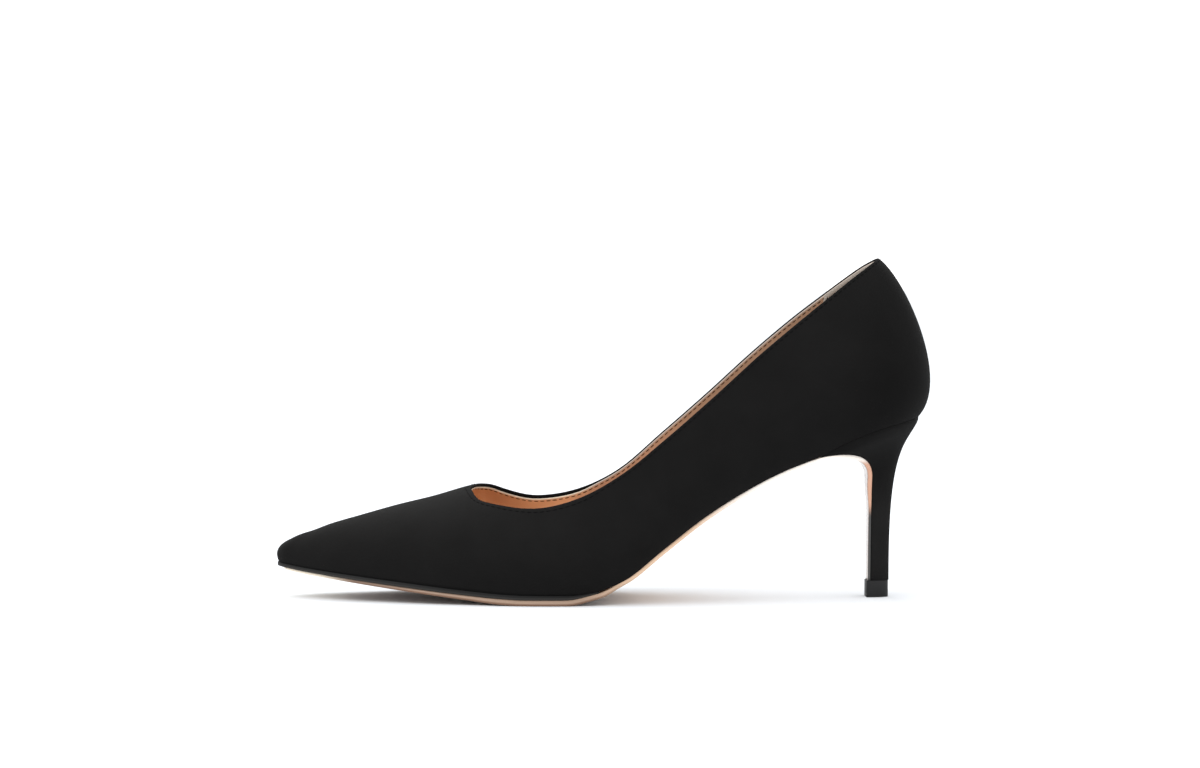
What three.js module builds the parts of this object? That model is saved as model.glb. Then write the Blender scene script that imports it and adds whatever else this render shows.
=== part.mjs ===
// High heel shoe, left foot: a pointed pump with a slim covered heel.
// The toe points along -X, the outer side of the foot faces -Y, and +Z is up.
import * as THREE from "three";

// Driving sizes, in millimetres.
const shoeLength = 244;
const ballWidth = 75;
const instepHeight = 38; // vamp above the feather line at the throat
const counterHeight = 60; // back of the upper above the seat
const seatRise = 62.7; // seat of the heel above the ball
const toeSpring = 10;
const upperWall = 1.8;
const outsoleThickness = 1.9;
const slipThickness = 1.45; // black slip sole between upper and outsole
const slipEndThickness = 0.45;
const insoleThickness = 2.4;
const edgeBevel = 0.7;
const slipBevel = 0.15;
const stemLength = 7.25;
const stemWidth = 8;
const topliftHeight = 6.0;
const topliftMargin = 0.4; // the top lift stands this far outside the heel tip at each side
const topliftLip = 1.5; // and this far in front of it
const topliftSetback = 0.25; // its round back lies this far inside
const clearance = 0.3;

// Steps of the facets.
const ribsPerRow = 2;
const throatSteps = 5; // ribs from the throat's row to the next
const ribRows = 11;
const ribCrowding = 1.2; // crowds a rib's points towards the feather line
const toeCrowding = 1.25; // crowds the sections of the bottom pieces towards the toe
const slipSections = 30;
const insoleSections = 40;
const soleSections = 48;
const outlineSteps = 400;
const heelRingSteps = 20;
const levelsPerRow = 2;
const lipSteps = 3;
const cutHalvings = 30;
const slopeStep = 0.002; // share of a length over which a slope is measured

// The bottom of the upper seen from the side. along is a share of the length from the toe,
// spring a share of the toe spring and arch a share of the seat's rise.
const bottomLine = [
  { along: 0.0, spring: 0.92, arch: 0.0 },
  { along: 0.034, spring: 0.8, arch: 0.0 },
  { along: 0.098, spring: 0.62, arch: 0.0 },
  { along: 0.192, spring: 0.385, arch: 0.0 },
  { along: 0.284, spring: 0.15, arch: 0.0 },
  { along: 0.345, spring: 0.03, arch: 0.0 },
  { along: 0.375, spring: 0.0, arch: 0.0 },
  { along: 0.443, spring: 0.0, arch: 0.0 },
  { along: 0.481, spring: 0.0, arch: 0.017 },
  { along: 0.525, spring: 0.0, arch: 0.078 },
  { along: 0.585, spring: 0.0, arch: 0.252 },
  { along: 0.646, spring: 0.0, arch: 0.43 },
  { along: 0.707, spring: 0.0, arch: 0.578 },
  { along: 0.768, spring: 0.0, arch: 0.702 },
  { along: 0.828, spring: 0.0, arch: 0.8 },
  { along: 0.867, spring: 0.0, arch: 0.882 },
  { along: 0.922, spring: 0.0, arch: 0.968 },
  { along: 0.982, spring: 0.0, arch: 1.02 },
  { along: 1.0, spring: 0.0, arch: 1.03 },
];

// Ribs of the upper from the toe tip to the back seam. foot, lat and med place the feather line:
// a share of the length, and shares of the ball width out to the outer and the inner side.
// head, headLat and headMed place the rib's upper end: the ridge of the vamp, then the topline.
// vamp and quarter raise it above the feather line, by shares of the instep and the counter
// height, and lift raises the inner side further.
const ribTable = [
  { foot: 0.0, lat: -0.107, med: 0.107, head: 0.0205, headLat: -0.101, headMed: 0.101,
    vamp: 0.252, quarter: 0, lift: 0 },
  { foot: 0.0057, lat: -0.056, med: 0.157, head: 0.0357, headLat: -0.099, headMed: 0.099,
    vamp: 0.308, quarter: 0, lift: 0 },
  { foot: 0.0225, lat: -0.008, med: 0.2, head: 0.054, headLat: -0.095, headMed: 0.095,
    vamp: 0.36, quarter: 0, lift: 0 },
  { foot: 0.053, lat: 0.067, med: 0.249, head: 0.082, headLat: -0.088, headMed: 0.088,
    vamp: 0.447, quarter: 0, lift: 0 },
  { foot: 0.107, lat: 0.167, med: 0.307, head: 0.127, headLat: -0.075, headMed: 0.075,
    vamp: 0.561, quarter: 0, lift: 0 },
  { foot: 0.172, lat: 0.267, med: 0.38, head: 0.182, headLat: -0.056, headMed: 0.056,
    vamp: 0.694, quarter: 0, lift: 0 },
  { foot: 0.238, lat: 0.347, med: 0.443, head: 0.24, headLat: -0.033, headMed: 0.033,
    vamp: 0.82, quarter: 0, lift: 0 },
  { foot: 0.295, lat: 0.4, med: 0.48, head: 0.295, headLat: 0, headMed: 0,
    vamp: 0.949, quarter: 0, lift: 0 },
  { foot: 0.32, lat: 0.424, med: 0.485, head: 0.3107, headLat: 0.178, headMed: 0.165,
    vamp: 0.8, quarter: 0.047, lift: 0.06 },
  { foot: 0.3545, lat: 0.451, med: 0.48, head: 0.344, headLat: 0.26, headMed: 0.245,
    vamp: 0.68, quarter: 0.097, lift: 0.055 },
  { foot: 0.406, lat: 0.473, med: 0.453, head: 0.402, headLat: 0.325, headMed: 0.315,
    vamp: 0.5, quarter: 0.21, lift: 0.025 },
  { foot: 0.463, lat: 0.467, med: 0.387, head: 0.463, headLat: 0.343, headMed: 0.34,
    vamp: 0.32, quarter: 0.387, lift: -0.006 },
  { foot: 0.525, lat: 0.42, med: 0.297, head: 0.525, headLat: 0.345, headMed: 0.345,
    vamp: 0.15, quarter: 0.562, lift: -0.029 },
  { foot: 0.594, lat: 0.353, med: 0.217, head: 0.594, headLat: 0.333, headMed: 0.337,
    vamp: 0.05, quarter: 0.641, lift: -0.016 },
  { foot: 0.668, lat: 0.289, med: 0.183, head: 0.664, headLat: 0.32, headMed: 0.327,
    vamp: 0, quarter: 0.714, lift: -0.014 },
  { foot: 0.742, lat: 0.256, med: 0.193, head: 0.734, headLat: 0.304, headMed: 0.307,
    vamp: 0, quarter: 0.805, lift: -0.01 },
  { foot: 0.811, lat: 0.271, med: 0.24, head: 0.797, headLat: 0.28, headMed: 0.28,
    vamp: 0, quarter: 0.899, lift: -0.004 },
  { foot: 0.869, lat: 0.312, med: 0.296, head: 0.844, headLat: 0.244, headMed: 0.244,
    vamp: 0, quarter: 0.962, lift: -0.006 },
  { foot: 0.912, lat: 0.324, med: 0.32, head: 0.875, headLat: 0.196, headMed: 0.196,
    vamp: 0, quarter: 0.992, lift: -0.003 },
  { foot: 0.949, lat: 0.264, med: 0.264, head: 0.898, headLat: 0.133, headMed: 0.133,
    vamp: 0, quarter: 1.016, lift: 0.004 },
  { foot: 0.975, lat: 0.147, med: 0.147, head: 0.9145, headLat: 0.067, headMed: 0.067,
    vamp: 0, quarter: 1.037, lift: 0.002 },
  { foot: 0.9836, lat: 0, med: 0, head: 0.9207, headLat: 0, headMed: 0,
    vamp: 0, quarter: 1.045, lift: 0 },
];
const throatRow = 7;
const breastRow = 16; // the outsole leaves the upper here to turn down the heel breast
const lastRow = ribTable.length - 1;

// The ridge goes on unseen behind the throat, so that the vamp keeps its form up to the topline
// that cuts it: along is a share of the length and vamp a share of the instep height.
const crownTable = [
  { along: 0.319, vamp: 0.993 },
  { along: 0.353, vamp: 1.061 },
  { along: 0.4115, vamp: 1.131 },
];
const crownEndRow = throatRow + crownTable.length;

// How the wall runs between the two ends of each rib, in shares of the rib's length: outLat,
// outMed and up lean it at the feather line, headOut and headDown shape its upper end, and
// crest tips the ridge towards the inner side. The vamp's rows start at the toe tip and go on
// under the crown, and the quarter's start behind the throat.
const vampWalls = [
  { outLat: 0.21, outMed: 0.21, up: 0.45, headOut: 0.42, headDown: 0, crest: 0 },
  { outLat: 0.19, outMed: 0.19, up: 0.45, headOut: 0.42, headDown: 0, crest: 0 },
  { outLat: 0.16, outMed: 0.16, up: 0.45, headOut: 0.42, headDown: 0, crest: 0 },
  { outLat: 0.12, outMed: 0.12, up: 0.45, headOut: 0.42, headDown: 0, crest: 0.01 },
  { outLat: 0.1, outMed: 0.1, up: 0.45, headOut: 0.42, headDown: 0, crest: 0.02 },
  { outLat: 0.09, outMed: 0.08, up: 0.45, headOut: 0.42, headDown: 0, crest: 0.035 },
  { outLat: 0.1, outMed: 0.08, up: 0.44, headOut: 0.42, headDown: 0, crest: 0.055 },
  { outLat: 0.11, outMed: 0.09, up: 0.43, headOut: 0.42, headDown: 0, crest: 0.08 },
  { outLat: 0.114, outMed: 0.094, up: 0.427, headOut: 0.42, headDown: 0, crest: 0.08 },
  { outLat: 0.12, outMed: 0.1, up: 0.42, headOut: 0.42, headDown: 0.01, crest: 0.08 },
  { outLat: 0.125, outMed: 0.12, up: 0.4, headOut: 0.42, headDown: 0.03, crest: 0.07 },
];
const quarterWalls = [
  { outLat: 0.12, outMed: 0.1, up: 0.44, headOut: 0.36, headDown: 0.08, crest: 0.07 },
  { outLat: 0.13, outMed: 0.11, up: 0.43, headOut: 0.27, headDown: 0.17, crest: 0.035 },
  { outLat: 0.14, outMed: 0.14, up: 0.4, headOut: 0.18, headDown: 0.24, crest: 0.01 },
  { outLat: 0.16, outMed: 0.18, up: 0.36, headOut: 0.13, headDown: 0.26, crest: 0 },
  { outLat: 0.18, outMed: 0.24, up: 0.32, headOut: 0.1, headDown: 0.28, crest: 0 },
  { outLat: 0.2, outMed: 0.3, up: 0.28, headOut: 0.08, headDown: 0.3, crest: 0 },
  { outLat: 0.22, outMed: 0.34, up: 0.26, headOut: 0.08, headDown: 0.3, crest: 0 },
  { outLat: 0.22, outMed: 0.32, up: 0.26, headOut: 0.08, headDown: 0.3, crest: 0 },
  { outLat: 0.2, outMed: 0.26, up: 0.27, headOut: 0.1, headDown: 0.3, crest: 0 },
  { outLat: 0.19, outMed: 0.21, up: 0.28, headOut: 0.12, headDown: 0.28, crest: 0 },
  { outLat: 0.19, outMed: 0.19, up: 0.29, headOut: 0.14, headDown: 0.24, crest: 0 },
  { outLat: 0.19, outMed: 0.19, up: 0.29, headOut: 0.17, headDown: 0.2, crest: 0 },
  { outLat: 0.2, outMed: 0.2, up: 0.24, headOut: 0.175, headDown: 0.13, crest: 0 },
  { outLat: 0.208, outMed: 0.208, up: 0.205, headOut: 0.165, headDown: 0.1, crest: 0 },
];

// Edges of the bottom pieces by rib row: how far each stands outside the feather line, as a
// share of the ball width, and the thickness of the slip sole and of the outsole, each as a
// share of its own.
const edgeTable = [
  { row: 0, slipProud: 0.006, soleProud: -0.03, slip: 0.74, thickness: 0.416 },
  { row: 3, slipProud: 0.006, soleProud: -0.014, slip: 0.8, thickness: 0.45 },
  { row: 6, slipProud: 0.006, soleProud: 0.002, slip: 1.0, thickness: 0.67 },
  { row: 9, slipProud: 0.006, soleProud: 0.003, slip: 1.0, thickness: 1.0 },
  { row: 10.6, slipProud: 0.005, soleProud: 0.003, slip: 1.0, thickness: 1.0 },
  { row: 11.4, slipProud: 0.002, soleProud: 0.002, slip: 1.0, thickness: 0.9 },
  { row: 12, slipProud: 0.0, soleProud: 0.0, slip: 1.0, thickness: 0.65 },
  { row: 14, slipProud: 0.0, soleProud: -0.006, slip: 1.0, thickness: 0.68 },
  { row: 16, slipProud: 0.0, soleProud: -0.003, slip: 1.0, thickness: 0.78 },
];
const slipEndRow = 11.4;
const slipTaperRows = 0.9;
const slipStepRows = 0.5; // the outsole closes up to the upper over these rows
const soleStartRow = 0.04;

// Levels of the heel from its tip to the seat. front and back are shares of the breast's and the
// back's own curves, width a share of the stem's, seat the share taken from the feather outline,
// and bow the share of the seat's own curve from front to back.
const heelTable = [
  { front: 0.0, back: 0.0, width: 1.0, seat: 0, bow: 0 },
  { front: 0.14, back: 0.147, width: 1.0, seat: 0, bow: 0 },
  { front: 0.29, back: 0.31, width: 1.05, seat: 0, bow: 0 },
  { front: 0.43, back: 0.47, width: 1.2, seat: 0, bow: 0 },
  { front: 0.53, back: 0.6, width: 1.45, seat: 0, bow: 0 },
  { front: 0.6, back: 0.7, width: 1.85, seat: 0, bow: 0 },
  { front: 0.66, back: 0.79, width: 2.45, seat: 0.05, bow: 0 },
  { front: 0.74, back: 0.87, width: 3.25, seat: 0.3, bow: 0.1 },
  { front: 0.84, back: 0.94, width: 4.3, seat: 0.7, bow: 0.4 },
  { front: 0.94, back: 0.982, width: 5.2, seat: 0.97, bow: 0.85 },
];
const breastAlong = 0.9093; // breast of the heel, as a share of the length
const breastLean = 0.0014; // how much further forward the tip of the breast is
const cornerHeight = 0.66; // start of the breast's turn, as a share of the seat's rise
const flapThickness = 0.4; // of the flap down the breast, as a share of the outsole's
const skiveStart = 0.62; // the flap thins between these heights, as shares of the seat's rise
const skiveEnd = 0.45;
const cornerReach = 0.025; // handles of the turn, as shares of the length
const cornerStand = 0.05;
const backStand = 0.6; // handles of the heel's back, as shares of its height
const backKnee = 0.78;
const backLean = 0.2; // and of its run from the tip to the back of the seat
const heelRoundness = 0.85; // power of the sine that rounds a level; 1 is an ellipse

// A smooth function through one named column of a table, with no overshoot between its rows.
function column(rows, key, from = "along") {
  const x = rows.map((row) => row[from]);
  const y = rows.map((row) => row[key]);
  const chord = x.slice(1).map((end, k) => (y[k + 1] - y[k]) / (end - x[k]));
  const slope = x.map((_, k) => {
    if (k === 0) return chord[0];
    if (k === x.length - 1) return chord[k - 1];
    const turns = chord[k - 1] * chord[k] <= 0;
    return turns ? 0 : 2 / (1 / chord[k - 1] + 1 / chord[k]);
  });
  return (at) => {
    let k = 0;
    while (k < x.length - 2 && at > x[k + 1]) k += 1;
    const span = x[k + 1] - x[k];
    const t = THREE.MathUtils.clamp((at - x[k]) / span, 0, 1);
    const bend = t * t * (3 - 2 * t);
    const rest = span * t * (1 - t);
    return y[k] + (y[k + 1] - y[k]) * bend + rest * ((1 - t) * slope[k] - t * slope[k + 1]);
  };
}

// Height of the feather line above the floor, at x millimetres behind the toe tip.
const ballStack = outsoleThickness + slipThickness + 2 * clearance;
const springAt = column(bottomLine, "spring");
const archAt = column(bottomLine, "arch");
function bottomHeight(x) {
  const along = x / shoeLength;
  return ballStack + springAt(along) * toeSpring + archAt(along) * seatRise;
}

// The point at a depth square below the bottom line, for a place x, y on it.
function below(x, y, depth) {
  const step = slopeStep * shoeLength;
  const slope = (bottomHeight(x + step) - bottomHeight(x - step)) / (2 * step);
  const length = Math.hypot(1, slope);
  return new THREE.Vector3(x + (depth * slope) / length, y, bottomHeight(x) - depth / length);
}

// The feather line runs from the toe down the outer side, round the seat and back.
const lateralSide = ribTable.slice(0, lastRow + 1);
const medialSide = ribTable.slice(1, lastRow).reverse();
const ringRows = lateralSide.length + medialSide.length;
const featherRing = new THREE.CatmullRomCurve3(
  [
    ...lateralSide.map((row) => new THREE.Vector3(row.foot * shoeLength, -row.lat * ballWidth, 0)),
    ...medialSide.map((row) => new THREE.Vector3(row.foot * shoeLength, row.med * ballWidth, 0)),
  ],
  true,
);

// A place on the feather line at a rib row, with the direction out of the shoe there.
function feather(row, side) {
  const turn = side < 0 ? row / ringRows : 1 - row / ringRows;
  const point = featherRing.getPoint(turn % 1);
  const tangent = featherRing.getTangent(turn % 1);
  return { point, out: new THREE.Vector3(tangent.y, -tangent.x, 0).normalize() };
}

function headPoint(row, side) {
  const breadth = side < 0 ? -row.headLat : row.headMed;
  const lift = side < 0 ? 0 : row.lift * counterHeight;
  const rise = row.vamp * instepHeight + row.quarter * counterHeight + lift;
  const x = row.head * shoeLength;
  return new THREE.Vector3(x, breadth * ballWidth, bottomHeight(x) + rise);
}

const crownPoints = crownTable.map(({ along, vamp }) => {
  const x = along * shoeLength;
  return new THREE.Vector3(x, 0, bottomHeight(x) + vamp * instepHeight);
});
const ridge = new THREE.CatmullRomCurve3([
  ...ribTable.slice(0, throatRow + 1).map((row) => headPoint(row, 1)),
  ...crownPoints,
]);
const toplineRows = 2 * (lastRow - throatRow);
const topline = new THREE.CatmullRomCurve3(
  [
    ...ribTable.slice(throatRow).map((row) => headPoint(row, -1)),
    ...ribTable.slice(throatRow + 1, lastRow).reverse().map((row) => headPoint(row, 1)),
  ],
  true,
);

// The shares of a set of ribs as smooth functions of the rib row.
function ribShape(walls, firstRow) {
  const numbered = walls.map((wall, k) => ({ ...wall, at: firstRow + k }));
  return Object.fromEntries(Object.keys(walls[0]).map((key) => [key, column(numbered, key, "at")]));
}
const vampShape = ribShape(vampWalls, 0);
const quarterShape = ribShape(quarterWalls, throatRow + 1);

// A rib from the feather line to its upper end. climb is how steeply the form rises along it.
function ribBetween(row, side, shape, top, climb) {
  const { point, out } = feather(row, side);
  const foot = point.clone().setZ(bottomHeight(point.x));
  const reach = foot.distanceTo(top);
  const lean = side < 0 ? shape.outLat(row) : shape.outMed(row);
  const low = foot.clone().addScaledVector(out, lean * reach);
  low.z += shape.up(row) * reach;
  const headOut = shape.headOut(row) * reach;
  const high = top.clone().addScaledVector(out, headOut);
  high.z += climb * out.x * headOut;
  high.z += (side * shape.crest(row) - shape.headDown(row)) * reach;
  return new THREE.CubicBezierCurve3(foot, low, high, top);
}

function vampRib(row, side) {
  const share = row / crownEndRow;
  const tangent = ridge.getTangent(share);
  return ribBetween(row, side, vampShape, ridge.getPoint(share), tangent.z / tangent.x);
}

function quarterRib(row, side) {
  const turn = (row - throatRow) / toplineRows;
  const top = topline.getPoint(side < 0 ? turn : 1 - turn);
  return ribBetween(row, side, quarterShape, top, 0);
}

// The lower stretch of a rib, up to the place where it lies y off the middle of the shoe.
function cutRib(rib, y) {
  let low = 0.5;
  let high = 1;
  for (let k = 0; k < cutHalvings; k += 1) {
    const middle = (low + high) / 2;
    if (Math.abs(rib.getPoint(middle).y) > Math.abs(y)) low = middle;
    else high = middle;
  }
  let points = [rib.v0, rib.v1, rib.v2, rib.v3];
  const kept = [rib.v0];
  while (points.length > 1) {
    points = points.slice(1).map((point, k) => points[k].clone().lerp(point, low));
    kept.push(points[0]);
  }
  return new THREE.CubicBezierCurve3(...kept);
}

// One rib of the upper's outer face, from the feather line to the ridge or the topline. Behind
// the throat the vamp's form, cut at the topline, passes smoothly into that of the quarter.
function ribCurve(row, side) {
  if (row <= throatRow) return vampRib(row, side);
  const quarter = quarterRib(row, side);
  if (row >= crownEndRow) return quarter;
  const cut = cutRib(vampRib(row, side), quarter.v3.y);
  const blend = THREE.MathUtils.smoothstep(row, throatRow, crownEndRow);
  return new THREE.CubicBezierCurve3(
    cut.v0,
    cut.v1.lerp(quarter.v1, blend),
    cut.v2.lerp(quarter.v2, blend),
    cut.v3.lerp(quarter.v3, blend),
  );
}

// Closed geometry from points and triangles, with its faces pointing out.
function solid(points, faces) {
  let volume = 0;
  for (const [a, b, c] of faces) {
    volume += points[a].dot(new THREE.Vector3().crossVectors(points[b], points[c]));
  }
  const outward = volume < 0 ? faces.map(([a, b, c]) => [a, c, b]) : faces;
  return new THREE.BufferGeometry().setFromPoints(points).setIndex(outward.flat());
}

// A solid through a row of like sections, closed with a fan at each end.
function loft(sections) {
  const count = sections[0].length;
  const points = sections.flat();
  const faces = [];
  for (let s = 0; s + 1 < sections.length; s += 1) {
    for (let k = 0; k < count; k += 1) {
      const a = s * count + k;
      const b = s * count + ((k + 1) % count);
      faces.push([a, b, b + count], [a, b + count, a + count]);
    }
  }
  for (const [s, forward] of [[0, false], [sections.length - 1, true]]) {
    const centre = new THREE.Vector3();
    for (const point of sections[s]) centre.addScaledVector(point, 1 / count);
    const hub = points.push(centre) - 1;
    for (let k = 0; k < count; k += 1) {
      const a = s * count + k;
      const b = s * count + ((k + 1) % count);
      faces.push(forward ? [hub, a, b] : [hub, b, a]);
    }
  }
  return solid(points, faces);
}

// The upper's ribs from the toe tip down the outer side, round the back seam and home again.
function upperRibs() {
  const rows = [];
  for (let row = 0; row < lastRow; row += 1) {
    const steps = row === throatRow ? throatSteps : ribsPerRow;
    for (let k = 0; k < steps; k += 1) rows.push(row + k / steps);
  }
  const lateral = [...rows, lastRow].map((row) => ({ row, side: -1 }));
  const medial = rows.slice(1).reverse().map((row) => ({ row, side: 1 }));
  return [...lateral, ...medial];
}

// Upper: one wall of even thickness, open along the topline and underneath.
function makeUpper() {
  const ribList = upperRibs();
  const ribs = ribList.length;
  const throatRib = ribList.findIndex(({ row }) => row === throatRow);
  const outer = [];
  const index = [];
  ribList.forEach(({ row, side }, rib) => {
    const curve = ribCurve(row, side);
    const shared = side > 0 && row <= throatRow;
    index.push([]);
    for (let k = 0; k <= ribRows; k += 1) {
      const known = shared && k === ribRows;
      const share = (k / ribRows) ** ribCrowding;
      index[rib].push(known ? index[ribs - rib][k] : outer.push(curve.getPoint(share)) - 1);
    }
  });
  const skin = [];
  for (let rib = 0; rib < ribs; rib += 1) {
    const next = (rib + 1) % ribs;
    for (let k = 0; k < ribRows; k += 1) {
      skin.push([index[rib][k], index[next][k], index[next][k + 1]]);
      skin.push([index[rib][k], index[next][k + 1], index[rib][k + 1]]);
    }
  }
  const surface = new THREE.BufferGeometry().setFromPoints(outer).setIndex(skin.flat());
  surface.computeVertexNormals();
  const normals = surface.getAttribute("normal");
  const inner = outer.map((point, k) => {
    const inward = new THREE.Vector3().fromBufferAttribute(normals, k).multiplyScalar(-upperWall);
    return point.clone().add(inward);
  });
  for (let rib = 0; rib < ribs; rib += 1) {
    const seat = inner[index[rib][0]];
    seat.z = bottomHeight(seat.x);
  }
  const lining = outer.length;
  const faces = [...skin, ...skin.map(([a, b, c]) => [a + lining, c + lining, b + lining])];
  for (let rib = 0; rib < ribs; rib += 1) {
    const a = index[rib][0];
    const b = index[(rib + 1) % ribs][0];
    faces.push([b, a, a + lining], [b, a + lining, b + lining]);
  }
  for (let rib = throatRib; rib < ribs - throatRib; rib += 1) {
    const a = index[rib][ribRows];
    const b = index[rib + 1][ribRows];
    faces.push([a, b, b + lining], [a, b + lining, a + lining]);
  }
  return solid([...outer, ...inner], faces);
}

// One section of a bottom piece at a rib row, between two depths below the feather line.
function plateSection(row, proud, top, bottom, bevel) {
  const lateral = feather(row, -1);
  const medial = feather(row, 1);
  const corner = ({ point, out }, past, depth) => {
    const place = point.clone().addScaledVector(out, past);
    return below(place.x, place.y, depth);
  };
  return [
    corner(lateral, proud, top),
    corner(medial, proud, top),
    corner(medial, proud, bottom - bevel),
    corner(medial, proud - bevel, bottom),
    corner(lateral, proud - bevel, bottom),
    corner(lateral, proud, bottom - bevel),
  ];
}

const edgeAt = (key) => column(edgeTable, key, "row");
const slipProud = edgeAt("slipProud");
const soleProud = edgeAt("soleProud");
const slipShare = edgeAt("slip");
const soleShare = edgeAt("thickness");

function slipThicknessAt(row) {
  const taper = THREE.MathUtils.smoothstep(row, slipEndRow - slipTaperRows, slipEndRow);
  return THREE.MathUtils.lerp(slipThickness * slipShare(row), slipEndThickness, taper);
}

// Depth of the outsole's upper face: under the slip sole, then close under the upper.
function soleDepth(row) {
  const under = 2 * clearance + slipThicknessAt(row);
  const closed = THREE.MathUtils.smoothstep(row, slipEndRow, slipEndRow + slipStepRows);
  return THREE.MathUtils.lerp(under, clearance, closed);
}

// Rib rows between two ends, closer together at the toe.
function rowsBetween(start, end, steps) {
  const along = Array.from({ length: steps + 1 }, (_, k) => k / steps);
  return along.map((share) => start + (end - start) * share ** toeCrowding);
}

function makeSlipSole() {
  const sections = rowsBetween(soleStartRow, slipEndRow, slipSections).map((row) => {
    const bottom = clearance + slipThicknessAt(row);
    return plateSection(row, slipProud(row) * ballWidth, clearance, bottom, slipBevel);
  });
  return loft(sections);
}

// Insole: fills the bottom of the upper from wall to wall.
const insoleToeRow = 1.5;
const insoleHeelRow = lastRow - 0.35;
function makeInsole() {
  const inset = -(upperWall + clearance + edgeBevel / 2);
  const sections = rowsBetween(insoleToeRow, insoleHeelRow, insoleSections).map((row) =>
    plateSection(row, inset, -insoleThickness, 0, edgeBevel / 2),
  );
  return loft(sections);
}

// The line that the outsole's upper face follows from the waist down the breast.
const breastX = breastAlong * shoeLength;
const waistEnd = ribTable[breastRow].foot;
const cornerTop = below(waistEnd * shoeLength, 0, clearance);
const cornerStart = below((waistEnd - slopeStep) * shoeLength, 0, clearance);
const waistHeading = cornerTop.clone().sub(cornerStart).normalize();
const breastTurn = new THREE.Vector3(breastX, 0, ballStack + cornerHeight * seatRise);
const cornerCurve = new THREE.CubicBezierCurve3(
  breastTurn,
  breastTurn.clone().add(new THREE.Vector3(0, 0, cornerStand * shoeLength)),
  cornerTop.clone().addScaledVector(waistHeading, cornerReach * shoeLength),
  cornerTop,
);
const heelFoot = topliftHeight + clearance;
const breastFoot = new THREE.Vector3(breastX - breastLean * shoeLength, 0, heelFoot);
const breastPath = new THREE.CurvePath();
breastPath.add(new THREE.LineCurve3(breastFoot, breastTurn));
breastPath.add(cornerCurve);

// The heel's back edge, from its tip to the back of the seat.
const seatBackX = ribTable[lastRow].foot * shoeLength;
const seatBack = below(seatBackX, 0, clearance);
const backFoot = new THREE.Vector3(breastFoot.x + clearance + stemLength, 0, heelFoot);
const backAt = (run, stand) =>
  new THREE.Vector3(
    THREE.MathUtils.lerp(backFoot.x, seatBack.x, run),
    0,
    THREE.MathUtils.lerp(heelFoot, seatBack.z, stand),
  );
const backPath = new THREE.CubicBezierCurve3(
  backFoot,
  backAt(0, backStand),
  backAt(backLean, backKnee),
  seatBack,
);

// A place on the breast path, with the direction from the outsole into the heel.
function breastPlace(share) {
  const point = breastPath.getPoint(share);
  const ahead = breastPath.getPoint(Math.min(share + slopeStep, 1));
  const behind = breastPath.getPoint(Math.max(share - slopeStep, 0));
  const heading = ahead.sub(behind).normalize();
  return { point, into: new THREE.Vector3(heading.z, 0, -heading.x) };
}

// Breadth of the feather outline at x, on one side, found along its ring from the waist back.
const outlineStart = breastRow - 2;
const outlineRows = Array.from(
  { length: outlineSteps + 1 },
  (_, k) => outlineStart + ((lastRow - outlineStart) * k) / outlineSteps,
);
const outlineSamples = [-1, 1].map((side) => outlineRows.map((row) => feather(row, side).point));
function outlineAt(x, side) {
  const samples = outlineSamples[side < 0 ? 0 : 1];
  let k = 0;
  while (k < samples.length - 2 && samples[k + 1].x < x) k += 1;
  const t = THREE.MathUtils.clamp((x - samples[k].x) / (samples[k + 1].x - samples[k].x || 1), 0, 1);
  return THREE.MathUtils.lerp(samples[k].y, samples[k + 1].y, t);
}

const seatHeight = (x) => below(x, 0, clearance).z;
const lipLevel = heelTable[heelTable.length - 1];
const lip = breastPlace(lipLevel.front);
const lipFront = lip.point.clone().addScaledVector(lip.into, clearance);

// One level of the heel: flat in front, round behind.
function heelRing(level, front, back) {
  const ring = [];
  for (let k = 0; k <= heelRingSteps; k += 1) {
    const turn = Math.PI * (k / heelRingSteps - 0.5);
    const share = Math.cos(turn);
    const side = turn < 0 ? -1 : 1;
    const x = THREE.MathUtils.lerp(front.x, back.x, share);
    const chord = THREE.MathUtils.lerp(front.z, back.z, share);
    const seatX = THREE.MathUtils.lerp(lipFront.x, seatBack.x, share);
    const seatChord = THREE.MathUtils.lerp(seatHeight(lipFront.x), seatHeight(seatBack.x), share);
    const z = chord + level.bow * (seatHeight(seatX) - seatChord);
    const round = side * Math.abs(Math.sin(turn)) ** heelRoundness;
    const stem = (round * level.width * stemWidth) / 2;
    const y = THREE.MathUtils.lerp(stem, outlineAt(x, side), level.seat);
    ring.push(new THREE.Vector3(x, y, z));
  }
  return ring;
}

// The heel's levels, with further ones between the rows of its table.
const numberedLevels = heelTable.map((row, at) => ({ ...row, at }));
const levelKeys = Object.keys(heelTable[0]);
const levelColumns = levelKeys.map((key) => [key, column(numberedLevels, key, "at")]);
const heelLevels = Array.from({ length: (heelTable.length - 1) * levelsPerRow + 1 }, (_, k) =>
  Object.fromEntries(levelColumns.map(([key, value]) => [key, value(k / levelsPerRow)])),
);

function heelRings() {
  const rings = heelLevels.map((level) => {
    const { point, into } = breastPlace(level.front);
    return heelRing(level, point.addScaledVector(into, clearance), backPath.getPointAt(level.back));
  });
  const rim = heelRing({ ...lipLevel, seat: 1, bow: 0 }, lipFront, seatBack);
  for (const point of rim) point.z = seatHeight(point.x);
  return [...rings, rim];
}

// Heel: a covered block, its seat shaped to the bottom of the upper.
function makeHeel() {
  return loft(heelRings());
}

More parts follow.
